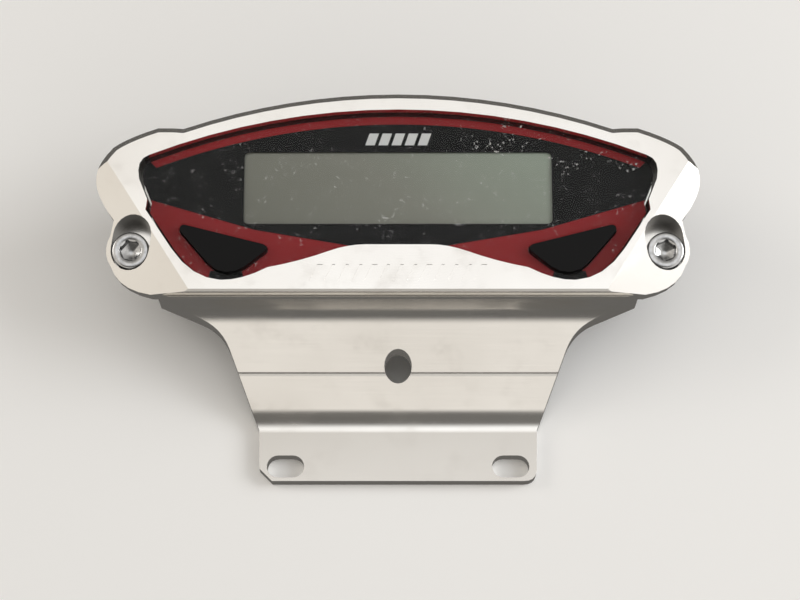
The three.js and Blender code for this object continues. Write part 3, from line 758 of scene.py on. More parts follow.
ALUMINIUM = MilledAluminium("milled_aluminium", "aluminium")
ZINC = Plating("bright_zinc", "zinc")
# the third colour is the painted shade of marked socket walls
STEEL = Plating(
    "turned_steel", "steel", (0.7, 0.7, 0.71), (0.48, 0.48, 0.5), (0.04, 0.04, 0.042), 0.26
)
CASE_PLASTIC = MouldedPlastic("case_plastic", "black_plastic")
KEY_PLASTIC = MouldedPlastic(
    "key_plastic", "black_plastic", (0.0085, 0.0085, 0.009), (0.02, 0.02, 0.0205), 0.5, 3200.0,
    0.003 * MILLIMETRE, 1.2,
)
WHITE_PLASTIC = MouldedPlastic(
    "white_plastic", "white_plastic", (0.74, 0.74, 0.72), (0.84, 0.84, 0.83), 0.4, 1800.0,
    0.006 * MILLIMETRE,
)
BLACK_INK = Ink("black_ink", "print")
RED_INK = Ink("red_ink", "print", (0.25, 0.019, 0.023), (0.3, 0.028, 0.031), 0.5, 0.3)
PALE_INK = Ink("pale_ink", "print", (0.6, 0.61, 0.63), (0.7, 0.71, 0.72), 0.5)
CLEAR = ClearLens("clear_lens", "lens")
CELL = DisplayCell("display_cell", "display")
RUBBER = Elastomer("rubber", "rubber")
LAMINATE = BoardLaminate("board_laminate", "board")
CHIP_RESIN = MouldedPlastic(
    "chip_resin", "chip", (0.022, 0.022, 0.024), (0.05, 0.05, 0.052), 0.55, 4000.0,
    0.004 * MILLIMETRE,
)
LAMP = Lamp("lamp_resin", "lamp")
CONTACT = ContactRubber("contact_rubber", "rubber")


# ------------------------------------------------------------------------------ the face


@dataclass(frozen=True)
class Face:
    """The gauge's tilted front plane: x to the right, v up the face, w out of it."""

    tilt: float
    y: float = 66.0 * MILLIMETRE
    z: float = 42.5 * MILLIMETRE

    @classmethod
    def of_frame(cls) -> "Face":
        """The face whose tilt is that of the keys' travel."""
        axis = frame["record"]["behaviour"]["joints"][0]["axis"]
        return cls(tilt=math.atan2(axis[1], -axis[2]))

    @property
    def matrix(self) -> Matrix:
        """What takes a point of the face to the frame."""
        return Matrix.Translation((0.0, self.y, self.z)) @ Matrix.Rotation(self.tilt, 4, "X")

    def points(self, node: str) -> np.ndarray:
        """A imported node's points in the face's own coordinates.

        Args:
            node: The node's name.

        Returns:
            One row for each point.
        """
        back = self.matrix.inverted()
        return np.array([back @ vertex.co for vertex in frame["nodes"][node].data.vertices])

    def extent(self, node: str) -> tuple[Vector, Vector]:
        """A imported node's lowest and highest corners in the face's own coordinates.

        Args:
            node: The node's name.

        Returns:
            The two corners.
        """
        points = self.points(node)
        return Vector(points.min(0)), Vector(points.max(0))


FACE = Face.of_frame()


# ------------------------------------------------------------------------ making pieces


class Workshop:
    """Ways of making a mesh that more than one piece uses."""

    @staticmethod
    def piece(name: str, mesh: bpy.types.Mesh, finish: Finish) -> bpy.types.Object:
        """Puts a mesh in the scene with its finish.

        Args:
            name: The piece's name.
            mesh: Its mesh.
            finish: Its finish.

        Returns:
            The object, at the origin.
        """
        mesh.materials.clear()
        mesh.materials.append(finish.material())
        made = bpy.data.objects.new(name, mesh)
        bpy.context.scene.collection.objects.link(made)
        return made

    @staticmethod
    def smoothed(made: bpy.types.Object, angle: float = 34.0) -> bpy.types.Object:
        """Shades a piece smooth up to an angle, with its flat faces kept flat.

        Args:
            made: The piece.
            angle: The angle, in degrees, past which an edge stays sharp.

        Returns:
            The same piece.
        """
        made.data.shade_smooth()
        made.data.set_sharp_from_angle(angle=math.radians(angle))
        weights = made.modifiers.new("weights", "WEIGHTED_NORMAL")
        weights.keep_sharp = True
        return made

    @staticmethod
    def eased(
        node: str, name: str, finish: Finish, radius: float, angle: float = 24.0
    ) -> bpy.types.Object:
        """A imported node's shape with its edges eased.

        Args:
            node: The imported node.
            name: The new piece's name.
            finish: Its finish.
            radius: How far an edge is eased, in metres.
            angle: The angle, in degrees, past which an edge is eased.

        Returns:
            The new piece.
        """
        shell = bmesh.new()
        shell.from_mesh(frame["nodes"][node].data)
        bmesh.ops.remove_doubles(shell, verts=shell.verts, dist=MERGE)
        bmesh.ops.dissolve_degenerate(shell, dist=MERGE, edges=shell.edges)
        bmesh.ops.dissolve_limit(
            shell, angle_limit=math.radians(0.5), verts=shell.verts, edges=shell.edges
        )
        limit = math.radians(angle)
        hard = [
            edge
            for edge in shell.edges
            if len(edge.link_faces) == 2 and edge.calc_face_angle() > limit
        ]
        wear = shell.loops.layers.float.new("wear")
        rounded = bmesh.ops.bevel(
            shell,
            geom=hard,
            offset=radius,
            offset_type="OFFSET",
            segments=2,
            profile=0.5,
            affect="EDGES",
            clamp_overlap=True,
            loop_slide=True,
        )
        for face in rounded["faces"]:
            for corner in face.loops:
                corner[wear] = 1.0
        mesh = bpy.data.meshes.new(name)
        shell.to_mesh(mesh)
        shell.free()
        return Workshop.smoothed(Workshop.piece(name, mesh, finish))

    @staticmethod
    def rebuilt(
        node: str, name: str, finish: Finish, radius: float, body: Body = Body.ROOT
    ) -> bpy.types.Object:
        """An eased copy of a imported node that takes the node's place.

        Args:
            node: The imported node.
            name: The new piece's name.
            finish: Its finish.
            radius: How far an edge is eased, in metres.
            body: The body it rides on.

        Returns:
            The new piece.
        """
        return Workshop.fit(Workshop.eased(node, name, finish, radius), body, finish, [node])

    @staticmethod
    def slab(name: str, loops: Sequence[Loop], low: float, high: float) -> bpy.types.Mesh:
        """Flat shapes given a thickness, in the face's coordinates.

        Args:
            name: The mesh's name.
            loops: The outlines, each a closed loop.
            low: The height of the underside.
            high: The height of the top.

        Returns:
            The mesh, already in the frame's place.
        """
        shell = bmesh.new()
        for loop in loops:
            area = sum(
                a[0] * b[1] - b[0] * a[1] for a, b in zip(loop, loop[1:] + loop[:1])
            )
            ordered = loop if area > 0 else loop[::-1]
            floor = [shell.verts.new((x, v, low)) for x, v in ordered]
            top = [shell.verts.new((x, v, high)) for x, v in ordered]
            shell.faces.new(floor[::-1])
            shell.faces.new(top)
            for here in range(len(ordered)):
                after = (here + 1) % len(ordered)
                shell.faces.new((floor[here], floor[after], top[after], top[here]))
        bmesh.ops.transform(shell, matrix=FACE.matrix, verts=shell.verts)
        mesh = bpy.data.meshes.new(name)
        shell.to_mesh(mesh)
        shell.free()
        return mesh

    @staticmethod
    def trimmed(
        made: bpy.types.Object, tool: bpy.types.Mesh, operation: str
    ) -> bpy.types.Object:
        """Cuts a piece with another shape.

        Args:
            made: The piece.
            tool: The cutting shape.
            operation: INTERSECT to keep what is inside it, DIFFERENCE to take that away.

        Returns:
            The same piece with its new mesh.
        """
        cutter = bpy.data.objects.new("cutter", tool)
        bpy.context.scene.collection.objects.link(cutter)
        cut = made.modifiers.new("cut", "BOOLEAN")
        cut.operation = operation
        cut.solver = "EXACT"
        cut.object = cutter
        graph = bpy.context.evaluated_depsgraph_get()
        mesh = bpy.data.meshes.new_from_object(made.evaluated_get(graph))
        made.modifiers.remove(cut)
        made.data = mesh
        bpy.data.objects.remove(cutter)
        return made

    @staticmethod
    def rim(node: str, height: float) -> Loop:
        """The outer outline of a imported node's flat face.

        Args:
            node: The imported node.
            height: The face's height above the gauge's front plane.

        Returns:
            The outline, in order, in the face's coordinates.
        """
        shell = bmesh.new()
        shell.from_mesh(frame["nodes"][node].data)
        bmesh.ops.remove_doubles(shell, verts=shell.verts, dist=MERGE)
        bmesh.ops.transform(shell, matrix=FACE.matrix.inverted(), verts=shell.verts)
        shell.normal_update()
        flat = [
            face
            for face in shell.faces
            if face.normal.z > 0.99
            and abs(face.calc_center_median().z - height) < FLATNESS
        ]
        border = [e for f in flat for e in f.edges if len(set(flat) & set(e.link_faces)) == 1]
        ways: dict[Any, list[Any]] = {}
        for edge in border:
            for vertex in edge.verts:
                ways.setdefault(vertex, []).append(edge.other_vert(vertex))
        loops = Workshop._walked(ways)
        widest = max(loops, key=lambda loop: max(p[0] for p in loop) - min(p[0] for p in loop))
        shell.free()
        return widest

    @staticmethod
    def _walked(ways: dict[Any, list[Any]]) -> list[Loop]:
        """Puts joined border points into closed loops.

        Args:
            ways: The neighbours of each border point.

        Returns:
            The loops.
        """
        loops = []
        left = dict.fromkeys(ways)
        while left:
            onward = [next(iter(left))]
            loop = []
            while onward:
                here = onward[0]
                del left[here]
                loop.append((here.co.x, here.co.y))
                onward = [vertex for vertex in ways[here] if vertex in left]
            loops.append(loop)
        return loops

    @staticmethod
    def moved_out(loop: Loop, distance: float) -> Loop:
        """An outline moved outwards, or inwards for a distance below 0.

        Args:
            loop: The outline.
            distance: How far it moves, in metres.

        Returns:
            The moved outline.
        """
        points = np.array(loop)
        before, after = np.roll(points, 1, 0), np.roll(points, -1, 0)
        area = float(np.sum(points[:, 0] * after[:, 1] - after[:, 0] * points[:, 1]))
        sign = 1.0 if area > 0 else -1.0
        first, second = points - before, after - points
        first /= np.linalg.norm(first, axis=1)[:, None]
        second /= np.linalg.norm(second, axis=1)[:, None]
        way = first + second
        way /= np.linalg.norm(way, axis=1)[:, None]
        outward = np.stack([way[:, 1], -way[:, 0]], 1) * sign
        return [tuple(p) for p in points + outward * distance]

    @staticmethod
    def fit(
        made: bpy.types.Object, body: Body, finish: Finish, nodes: Iterable[str] = ()
    ) -> bpy.types.Object:
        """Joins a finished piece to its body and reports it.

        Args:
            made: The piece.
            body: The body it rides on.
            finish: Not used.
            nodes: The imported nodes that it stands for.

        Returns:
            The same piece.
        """
        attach(made, body.value)
        names = list(nodes)
        if names:
            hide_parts(*names)
        log.info("%s: %d faces on %s", made.name, len(made.data.polygons), body.value)
        return made

    @staticmethod
    def soiled(mesh: bpy.types.Mesh, nodes: Sequence[str], reach: float) -> None:
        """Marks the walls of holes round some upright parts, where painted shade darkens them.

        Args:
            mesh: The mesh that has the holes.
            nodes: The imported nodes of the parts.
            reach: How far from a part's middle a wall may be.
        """
        # painted shade: the mask that darkens these walls
        grime = mesh.attributes.new("grime", "FLOAT", "CORNER").data
        back = FACE.matrix.inverted()
        centres = [sum(FACE.extent(node), Vector()) / 2 for node in nodes]
        for face in mesh.polygons:
            middle = back @ face.center
            outward = back.to_3x3() @ face.normal
            for centre in centres:
                away = (middle - centre).to_2d()
                inward = away.dot(outward.to_2d()) < 0 and abs(outward.z) < 0.5
                if inward and away.length < reach:
                    for corner in face.loop_indices:
                        grime[corner].value = 1.0

    @staticmethod
    def dress(node: str, finish: Finish) -> None:
        """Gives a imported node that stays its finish.

        Args:
            node: The node's name.
            finish: The finish.
        """
        shown = frame["nodes"][node]
        for place in shown.material_slots:
            place.material = finish.material()
        log.info("%s: packed shape in %s", node, finish.name)


# --------------------------------------------------------------------- turned hardware


@dataclass(frozen=True)
class Ring:
    """One corner of a turned part's section."""

    radius: float
    height: float
    flats: float = 0.0
    ribs: float = 0.0


@dataclass(frozen=True)
class Place:
    """Where a part stands on the face, and how it is turned."""

    x: float
    v: float
    w: float
    spin: float = 0.0
    upside_down: bool = False


def eased_corner(radius: float, height: float, ease: float, upward: bool) -> list[Ring]:
    """An outer corner of a section, rounded with three points.

    Args:
        radius: The corner's radius.
        height: The corner's height.
        ease: How far it is eased.
        upward: Whether the section runs up from the corner, or comes up to it.

    Returns:
        The points, in the order in which the section passes them.
    """
    lift = ease if upward else -ease
    points = [
        Ring(radius - ease, height),
        Ring(radius - ease * 0.3, height + lift * 0.3),
        Ring(radius, height + lift),
    ]
    return points if upward else points[::-1]


def foot_of(node: str, spin: float) -> Place:
    """Where a packed turned part's lower end is.

    Args:
        node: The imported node.
        spin: How far the part is turned about its axis.

    Returns:
        The place.
    """
    low, high = FACE.extent(node)
    return Place((low.x + high.x) / 2, (low.y + high.y) / 2, low.z, spin)


def crown_of(node: str, spin: float) -> Place:
    """Where a packed turned part's upper end is, for a part that hangs head down.

    Args:
        node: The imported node.
        spin: How far the part is turned about its axis.

    Returns:
        The place.
    """
    low, high = FACE.extent(node)
    return Place((low.x + high.x) / 2, (low.y + high.y) / 2, high.z, spin, upside_down=True)


class TurnedTree(Bench):
    """Geometry nodes that spin a section, cut its flats and ribs, and set it at each place."""

    NAME = "turned_parts"

    def __init__(self) -> None:
        """Builds the tree with its named inputs."""
        super().__init__(bpy.data.node_groups.new(self.NAME, "GeometryNodeTree"))
        face = self.tree.interface
        face.new_socket("Geometry", in_out="INPUT", socket_type="NodeSocketGeometry")
        face.new_socket("Segments", in_out="INPUT", socket_type="NodeSocketInt")
        face.new_socket("Rib Count", in_out="INPUT", socket_type="NodeSocketFloat")
        face.new_socket("Rib Depth", in_out="INPUT", socket_type="NodeSocketFloat")
        face.new_socket("Across Flats", in_out="INPUT", socket_type="NodeSocketFloat")
        face.new_socket("Places", in_out="INPUT", socket_type="NodeSocketObject")
        face.new_socket("Finish", in_out="INPUT", socket_type="NodeSocketMaterial")
        face.new_socket("Geometry", in_out="OUTPUT", socket_type="NodeSocketGeometry")
        self.inlet = self.node("NodeGroupInput")
        shape = self._spun()
        self._placed(shape)

    def taken(self, name: str) -> bpy.types.NodeSocket:
        """Finds a named input inside the tree.

        Args:
            name: The input's name.

        Returns:
            Its socket.
        """
        return self.inlet.outputs[name]

    def _read(self, kind: str, value: bpy.types.NodeSocket, row: Number) -> bpy.types.NodeSocket:
        """Reads a value of the section at one corner.

        Args:
            kind: The value's data type.
            value: The value's field.
            row: The corner's number.

        Returns:
            What is there.
        """
        values = {"Geometry": self.taken("Geometry"), "Value": value, "Index": row}
        return self.node("GeometryNodeSampleIndex", {"data_type": kind}, values).outputs[0]

    def _tagged(self, name: str, row: Number) -> Number:
        """A section corner's own number.

        Args:
            name: The attribute's name.
            row: The corner's number.

        Returns:
            The number.
        """
        tag = self.node("GeometryNodeInputNamedAttribute", {"data_type": "FLOAT"}, {"Name": name})
        return self.number(self._read("FLOAT", tag.outputs[0], row))

    def _spun(self) -> bpy.types.NodeSocket:
        """Spins the section about its axis.

        Returns:
            The closed shape.
        """
        corners = self.node(
            "GeometryNodeAttributeDomainSize", values={"Geometry": self.taken("Geometry")}
        ).outputs["Point Count"]
        segments = self.number(self.taken("Segments"))
        columns = segments + 1
        sheet = self.node(
            "GeometryNodeMeshGrid", values={"Vertices X": corners, "Vertices Y": columns}
        ).outputs[0]
        index = self.number(self.node("GeometryNodeInputIndex").outputs[0])
        row = index.worked("FLOOR", (index + 0.5) / columns)
        turn = (index - row * columns) / segments * math.tau
        place = self.node("GeometryNodeInputPosition").outputs[0]
        corner = self.node(
            "ShaderNodeSeparateXYZ", values={0: self._read("FLOAT_VECTOR", place, row)}
        ).outputs
        flats, ribs = self._tagged("flats", row), self._tagged("ribs", row)
        sixth = math.pi / 6
        within = turn.worked("WRAP", turn, sixth, -sixth)
        flat = self.number(self.taken("Across Flats")) * 0.5 / within.worked("COSINE", within)
        rib = turn.worked("COSINE", turn * self.number(self.taken("Rib Count")))
        plain = self.number(corner[0])
        radius = plain * (1 - flats) + flat * flats
        radius = radius + rib * ribs * self.number(self.taken("Rib Depth"))
        point = self.node(
            "ShaderNodeCombineXYZ",
            values={
                0: radius * turn.worked("COSINE", turn),
                1: radius * turn.worked("SINE", turn),
                2: corner[2],
            },
        ).outputs[0]
        shaped = self.node("GeometryNodeSetPosition", values={"Geometry": sheet, "Position": point})
        closed = self.node(
            "GeometryNodeMergeByDistance",
            values={"Geometry": shaped.outputs[0], "Distance": MERGE},
        )
        return closed.outputs[0]

    def _placed(self, shape: bpy.types.NodeSocket) -> None:
        """Sets the shape at every place and ends the tree.

        Args:
            shape: The shape to repeat.
        """
        places = self.node(
            "GeometryNodeObjectInfo", values={"Object": self.taken("Places")}
        ).outputs["Geometry"]
        turn = self.node(
            "GeometryNodeInputNamedAttribute", {"data_type": "FLOAT_VECTOR"}, {"Name": "turn"}
        ).outputs[0]
        copies = self.node(
            "GeometryNodeInstanceOnPoints",
            values={"Points": places, "Instance": shape, "Rotation": turn},
        ).outputs[0]
        real = self.node("GeometryNodeRealizeInstances", values={"Geometry": copies}).outputs[0]
        painted = self.node(
            "GeometryNodeSetMaterial", values={"Geometry": real, "Material": self.taken("Finish")}
        ).outputs[0]
        outlet = self.node("NodeGroupOutput")
        self.join(painted, outlet.inputs[0])


@dataclass
class TurnedParts:
    """One kind of turned part, set at one or more places."""

    name: str
    finish: Finish
    section: list[Ring]
    places: list[Place]
    nodes: list[str]
    segments: int = 48
    rib_count: float = 0.0
    rib_depth: float = 0.0
    across_flats: float = 0.0

    def build(self) -> bpy.types.Object:
        """Makes the parts as one plain mesh.

        Returns:
            The piece, riding on the fixed body.
        """
        section = self._points(
            "section", [(ring.radius, 0.0, ring.height) for ring in self.section]
        )
        for tag in ("flats", "ribs"):
            layer = section.data.attributes.new(tag, "FLOAT", "POINT")
            layer.data.foreach_set("value", [getattr(ring, tag) for ring in self.section])
        places = self._points("places", [(p.x, p.v, p.w) for p in self.places])
        turns = places.data.attributes.new("turn", "FLOAT_VECTOR", "POINT")
        for entry, place in zip(turns.data, self.places):
            entry.vector = (math.pi if place.upside_down else 0.0, 0.0, place.spin)
        tree = bpy.data.node_groups.get(TurnedTree.NAME) or TurnedTree().tree
        spin = section.modifiers.new("turned", "NODES")
        spin.node_group = tree
        given = {
            "Segments": self.segments,
            "Rib Count": float(self.rib_count),
            "Rib Depth": self.rib_depth,
            "Across Flats": self.across_flats,
            "Places": places,
            "Finish": self.finish.material(),
        }
        for socket in tree.interface.items_tree:
            if socket.item_type == "SOCKET" and socket.name in given:
                spin[socket.identifier] = given[socket.name]
        section.update_tag()
        graph = bpy.context.evaluated_depsgraph_get()
        mesh = bpy.data.meshes.new_from_object(section.evaluated_get(graph))
        section.modifiers.remove(spin)
        for spare in (section, places):
            bpy.data.objects.remove(spare)
        self._closed(mesh)
        mesh.name = self.name
        made = Workshop.smoothed(Workshop.piece(self.name, mesh, self.finish), 30.0)
        return Workshop.fit(made, Body.ROOT, self.finish, self.nodes)

    @staticmethod
    def _points(name: str, points: Sequence[Sequence[float]]) -> bpy.types.Object:
        """An object that holds bare points.

        Args:
            name: Its name.
            points: The points.

        Returns:
            The object.
        """
        mesh = bpy.data.meshes.new(name)
        mesh.from_pydata([tuple(point) for point in points], [], [])
        made = bpy.data.objects.new(name, mesh)
        bpy.context.scene.collection.objects.link(made)
        return made

    @staticmethod
    def _closed(mesh: bpy.types.Mesh) -> None:
        """Closes a turned mesh, turns its faces outwards and puts it on the face.

        Args:
            mesh: The mesh.
        """
        shell = bmesh.new()
        shell.from_mesh(mesh)
        bmesh.ops.remove_doubles(shell, verts=shell.verts, dist=MERGE)
        bmesh.ops.dissolve_degenerate(shell, dist=MERGE, edges=shell.edges)
        bmesh.ops.recalc_face_normals(shell, faces=shell.faces)
        bmesh.ops.transform(shell, matrix=FACE.matrix, verts=shell.verts)
        shell.to_mesh(mesh)
        shell.free()


# ------------------------------------------------------------------------ sub-assemblies


@dataclass
class Guard:
    """The billet guard with its neck and its bolted foot."""

    node: str = "guard_bracket"
    edge: float = 0.3 * MILLIMETRE
    recess_reach: float = 9.5 * MILLIMETRE

    def build(self) -> None:
        """Makes the guard with its edges eased."""
        made = Workshop.eased(self.node, "guard", ALUMINIUM, self.edge, 26.0)
        screws = [f"side_screw_{side.word}" for side in Side]
        # painted shade on the walls of the screw recesses
        Workshop.soiled(made.data, screws, self.recess_reach)
        Workshop.fit(made, Body.ROOT, ALUMINIUM, [self.node])


@dataclass
class FacePrint:
    """What is printed on the film behind the lens."""

    film: str = "graphic_film"
    thickness: float = 0.03 * MILLIMETRE
    border: float = 0.05 * MILLIMETRE
    stripe_top: float = 18.5 * MILLIMETRE
    stripe_arc: float = 179.0 * MILLIMETRE
    stripe_end: float = 64.7 * MILLIMETRE
    band_start: tuple[float, float] = (65.8 * MILLIMETRE, -2.7 * MILLIMETRE)
    band_bend: tuple[float, float] = (38.3 * MILLIMETRE, -10.8 * MILLIMETRE)
    band_point: tuple[float, float] = (11.5 * MILLIMETRE, -15.4 * MILLIMETRE)
    key_border: float = 0.35 * MILLIMETRE
    mark_centre: tuple[float, float] = (0.0, 14.3 * MILLIMETRE)
    mark_size: tuple[float, float] = (17.6 * MILLIMETRE, 3.3 * MILLIMETRE)
    mark_bars: int = 5

    def build(self) -> None:
        """Makes the red stripe, the two red bands and the pale mark."""
        Workshop.dress(self.film, BLACK_INK)
        self._stripe()
        for side in Side:
            self._band(side)
        self._mark()

    @property
    def top(self) -> float:
        """The height of the film's front."""
        return FACE.extent(self.film)[1].z

    def _inside(self) -> bpy.types.Mesh:
        """The film's own outline, a little smaller, as a cutting shape."""
        outline = Workshop.moved_out(Workshop.rim(self.film, self.top), -self.border)
        return Workshop.slab("outline", [outline], self.top - MILLIMETRE, self.top + MILLIMETRE)

    def _layer(self, name: str, loops: Sequence[Loop], finish: Finish) -> bpy.types.Object:
        """A thin layer of ink on the film.

        Args:
            name: The layer's name.
            loops: Its outlines.
            finish: Its finish.

        Returns:
            The layer.
        """
        mesh = Workshop.slab(name, loops, self.top, self.top + self.thickness)
        return Workshop.piece(name, mesh, finish)

    def _stripe(self) -> None:
        """The red stripe along the top edge."""
        high = FACE.extent(self.film)[1].y + MILLIMETRE
        steps = [self.stripe_end * (i / 24 - 1) for i in range(49)]
        lower = [
            (x, self.stripe_top - self.stripe_arc + math.sqrt(self.stripe_arc**2 - x**2))
            for x in steps
        ]
        outer = self.stripe_end + 1.7 * MILLIMETRE
        tip = lower[-1][1] + 1.6 * MILLIMETRE
        far = outer + 8 * MILLIMETRE
        loop = lower + [(outer, tip), (far, tip + 6 * MILLIMETRE), (far, high)]
        loop += [(-far, high), (-far, tip + 6 * MILLIMETRE), (-outer, tip)]
        made = self._layer("red_stripe", [loop], RED_INK)
        Workshop.trimmed(made, self._inside(), "INTERSECT")
        Workshop.fit(made, Body.ROOT, RED_INK)

    def _band(self, side: Side) -> None:
        """The red band round one key.

        Args:
            side: Which key.
        """
        key = f"key_pad_{side.word}"
        low = FACE.extent(self.film)[0].y - MILLIMETRE
        reach = 12 * MILLIMETRE
        loop = [
            self.band_point,
            self.band_bend,
            self.band_start,
            (self.band_start[0] + reach, self.band_start[1] + reach * 0.2),
            (self.band_start[0] + reach, low),
            (self.band_point[0] - 2 * MILLIMETRE, low),
        ]
        made = self._layer(f"red_band_{side.word}", [[(x * side.value, v) for x, v in loop]], RED_INK)
        Workshop.trimmed(made, self._inside(), "INTERSECT")
        outline = Workshop.rim(key, FACE.extent(key)[1].z)
        around = Workshop.moved_out(outline, self.key_border)
        foot = min(around, key=lambda point: point[1])
        half = 4.2 * MILLIMETRE
        wedge = [
            (foot[0] - half, foot[1] + 1.2 * MILLIMETRE),
            (foot[0] + half, foot[1] + 1.2 * MILLIMETRE),
            (foot[0] + half * 1.25, low),
            (foot[0] - half * 1.25, low),
        ]
        for index, shape in enumerate((around, wedge)):
            hole = Workshop.slab(
                f"hole_{index}", [shape], self.top - MILLIMETRE, self.top + MILLIMETRE
            )
            Workshop.trimmed(made, hole, "DIFFERENCE")
        Workshop.fit(made, Body.ROOT, RED_INK)

    def _mark(self) -> None:
        """A plain row of slanted bars above the display."""
        width, height = self.mark_size
        pitch = width / self.mark_bars
        slant = height * 0.35
        loops = []
        for bar in range(self.mark_bars):
            left = self.mark_centre[0] - width / 2 + bar * pitch
            right = left + pitch * 0.72
            low = self.mark_centre[1] - height / 2
            loops.append(
                [(left, low), (right, low), (right + slant, low + height), (left + slant, low + height)]
            )
        made = self._layer("pale_mark", loops, PALE_INK)
        Workshop.fit(made, Body.ROOT, PALE_INK)


@dataclass
class Display:
    """The lens over the face, the liquid-crystal cell and what holds and lights it."""

    lens_edge: float = 0.35 * MILLIMETRE
    cell_edge: float = 0.45 * MILLIMETRE

    def build(self) -> None:
        """Makes the lens and the cell, and dresses the inner pieces."""
        Workshop.rebuilt("lens", "clear_lens", CLEAR, self.lens_edge)
        Workshop.rebuilt("lcd_glass", "display_cell", CELL, self.cell_edge)
        Workshop.dress("lcd_holder", WHITE_PLASTIC)
        Workshop.dress("backlight_panel", WHITE_PLASTIC)
        Workshop.dress("contact_strip_top", CONTACT)
        Workshop.dress("contact_strip_bottom", CONTACT)


@dataclass
class Keys:
    """The two flush keys and the switches under them."""

    edge: float = 0.25 * MILLIMETRE
    bodies: dict[Side, Body] = field(
        default_factory=lambda: {Side.LEFT: Body.KEY_LEFT, Side.RIGHT: Body.KEY_RIGHT}
    )

    def build(self) -> None:
        """Makes both key pads and dresses their stems and switches."""
        for side, body in self.bodies.items():
            name = f"key_{side.word}_cap"
            Workshop.rebuilt(f"key_pad_{side.word}", name, KEY_PLASTIC, self.edge, body)
            Workshop.dress(f"switch_stem_{side.word}", CASE_PLASTIC)
            Workshop.dress(f"key_switch_{side.word}", STEEL)


@dataclass
class Electronics:
    """The board and what is soldered to it."""

    def build(self) -> None:
        """Dresses the board, its chips, its lamps and their baffles."""
        Workshop.dress("circuit_board", LAMINATE)
        for chip in ("microcontroller", "display_driver", "supply_capacitor"):
            Workshop.dress(chip, CHIP_RESIN)
        Workshop.dress("wire_header", WHITE_PLASTIC)
        for side in Side:
            Workshop.dress(f"lamp_baffle_{side.word}", CASE_PLASTIC)
            Workshop.dress(f"backlight_led_{side.word}", LAMP)
            for number in (1, 2):
                Workshop.dress(f"lamp_led_{side.word}_{number}", LAMP)


@dataclass
class Housing:
    """The gauge's two-part case, its seal and its cable gland."""

    edge: float = 0.35 * MILLIMETRE

    def build(self) -> None:
        """Makes the case parts with their edges eased, and dresses the rest."""
        Workshop.rebuilt("front_frame", "front_shell", CASE_PLASTIC, self.edge)
        Workshop.rebuilt("rear_case", "rear_shell", CASE_PLASTIC, self.edge)
        CableInlet().build()
        Workshop.dress("case_seal", RUBBER)


@dataclass
class CapScrews:
    """The two socket-head screws beside the face."""

    finish: Finish
    head_height: float = 6.0 * MILLIMETRE
    ease: float = 0.55 * MILLIMETRE
    key_size: float = 5.0 * MILLIMETRE
    key_depth: float = 3.2 * MILLIMETRE
    shank: float = 3.0 * MILLIMETRE
    thread: float = 1.0 * MILLIMETRE
    thread_depth: float = 0.45 * MILLIMETRE
    knurls: float = 40.0
    knurl_depth: float = 0.11 * MILLIMETRE

    def build(self) -> None:
        """Makes both screws."""
        nodes = [f"side_screw_{side.word}" for side in Side]
        low, high = FACE.extent(nodes[0])
        section = self._head((high.x - low.x) / 2, high.z - low.z)
        section += self._threaded(high.z - low.z - self.head_height - 6.0 * MILLIMETRE)
        places = [foot_of(node, spin) for node, spin in zip(nodes, (0.35, 0.9))]
        made = TurnedParts(
            "side_screws", self.finish, section, places, nodes, 160, self.knurls,
            self.knurl_depth, self.key_size,
        ).build()
        # painted shade on the walls of the hex sockets
        Workshop.soiled(made.data, nodes, self.key_size * 0.65)

    def _head(self, radius: float, top: float) -> list[Ring]:
        """The head's section, from the bottom of its socket to its seat.

        Args:
            radius: The head's radius.
            top: The height of its top.

        Returns:
            The section's corners.
        """
        inner, floor, seat = self.key_size / 2, top - self.key_depth, top - self.head_height
        edge, body = radius - self.ease, radius - self.knurl_depth
        return [
            Ring(0.0, floor - 0.9 * MILLIMETRE),
            Ring(inner * 0.55, floor - 0.45 * MILLIMETRE),
            Ring(inner, floor, flats=1.0),
            Ring(inner, top - 0.4 * MILLIMETRE, flats=1.0),
            Ring(inner * 1.16, top - 0.08 * MILLIMETRE),
            Ring(inner * 1.22, top),
            Ring(edge, top),
            Ring(edge + self.ease * 0.5, top - self.ease * 0.15),
            Ring(edge + self.ease * 0.85, top - self.ease * 0.5),
            Ring(body, top - self.ease),
            Ring(body, top - self.ease * 1.5, ribs=1.0),
            Ring(body, seat + 0.6 * MILLIMETRE, ribs=1.0),
            Ring(body, seat + 0.3 * MILLIMETRE),
            Ring(radius - 0.4 * MILLIMETRE, seat),
            Ring(self.shank, seat),
        ]

    def _threaded(self, start: float) -> list[Ring]:
        """The shank's section below its plain part, with a groove for each turn of thread.

        Args:
            start: The height at which the thread starts.

        Returns:
            The section's corners.
        """
        turns = int((start - self.thread) / self.thread)
        section = [Ring(self.shank, start)]
        for turn in range(turns):
            crest = start - turn * self.thread
            section.append(Ring(self.shank - self.thread_depth, crest - self.thread * 0.42))
            section.append(Ring(self.shank - self.thread_depth, crest - self.thread * 0.56))
            section.append(Ring(self.shank - 0.03 * MILLIMETRE, crest - self.thread * 0.95))
        return section + [Ring(self.shank - 0.6 * MILLIMETRE, 0.0), Ring(0.0, 0.0)]


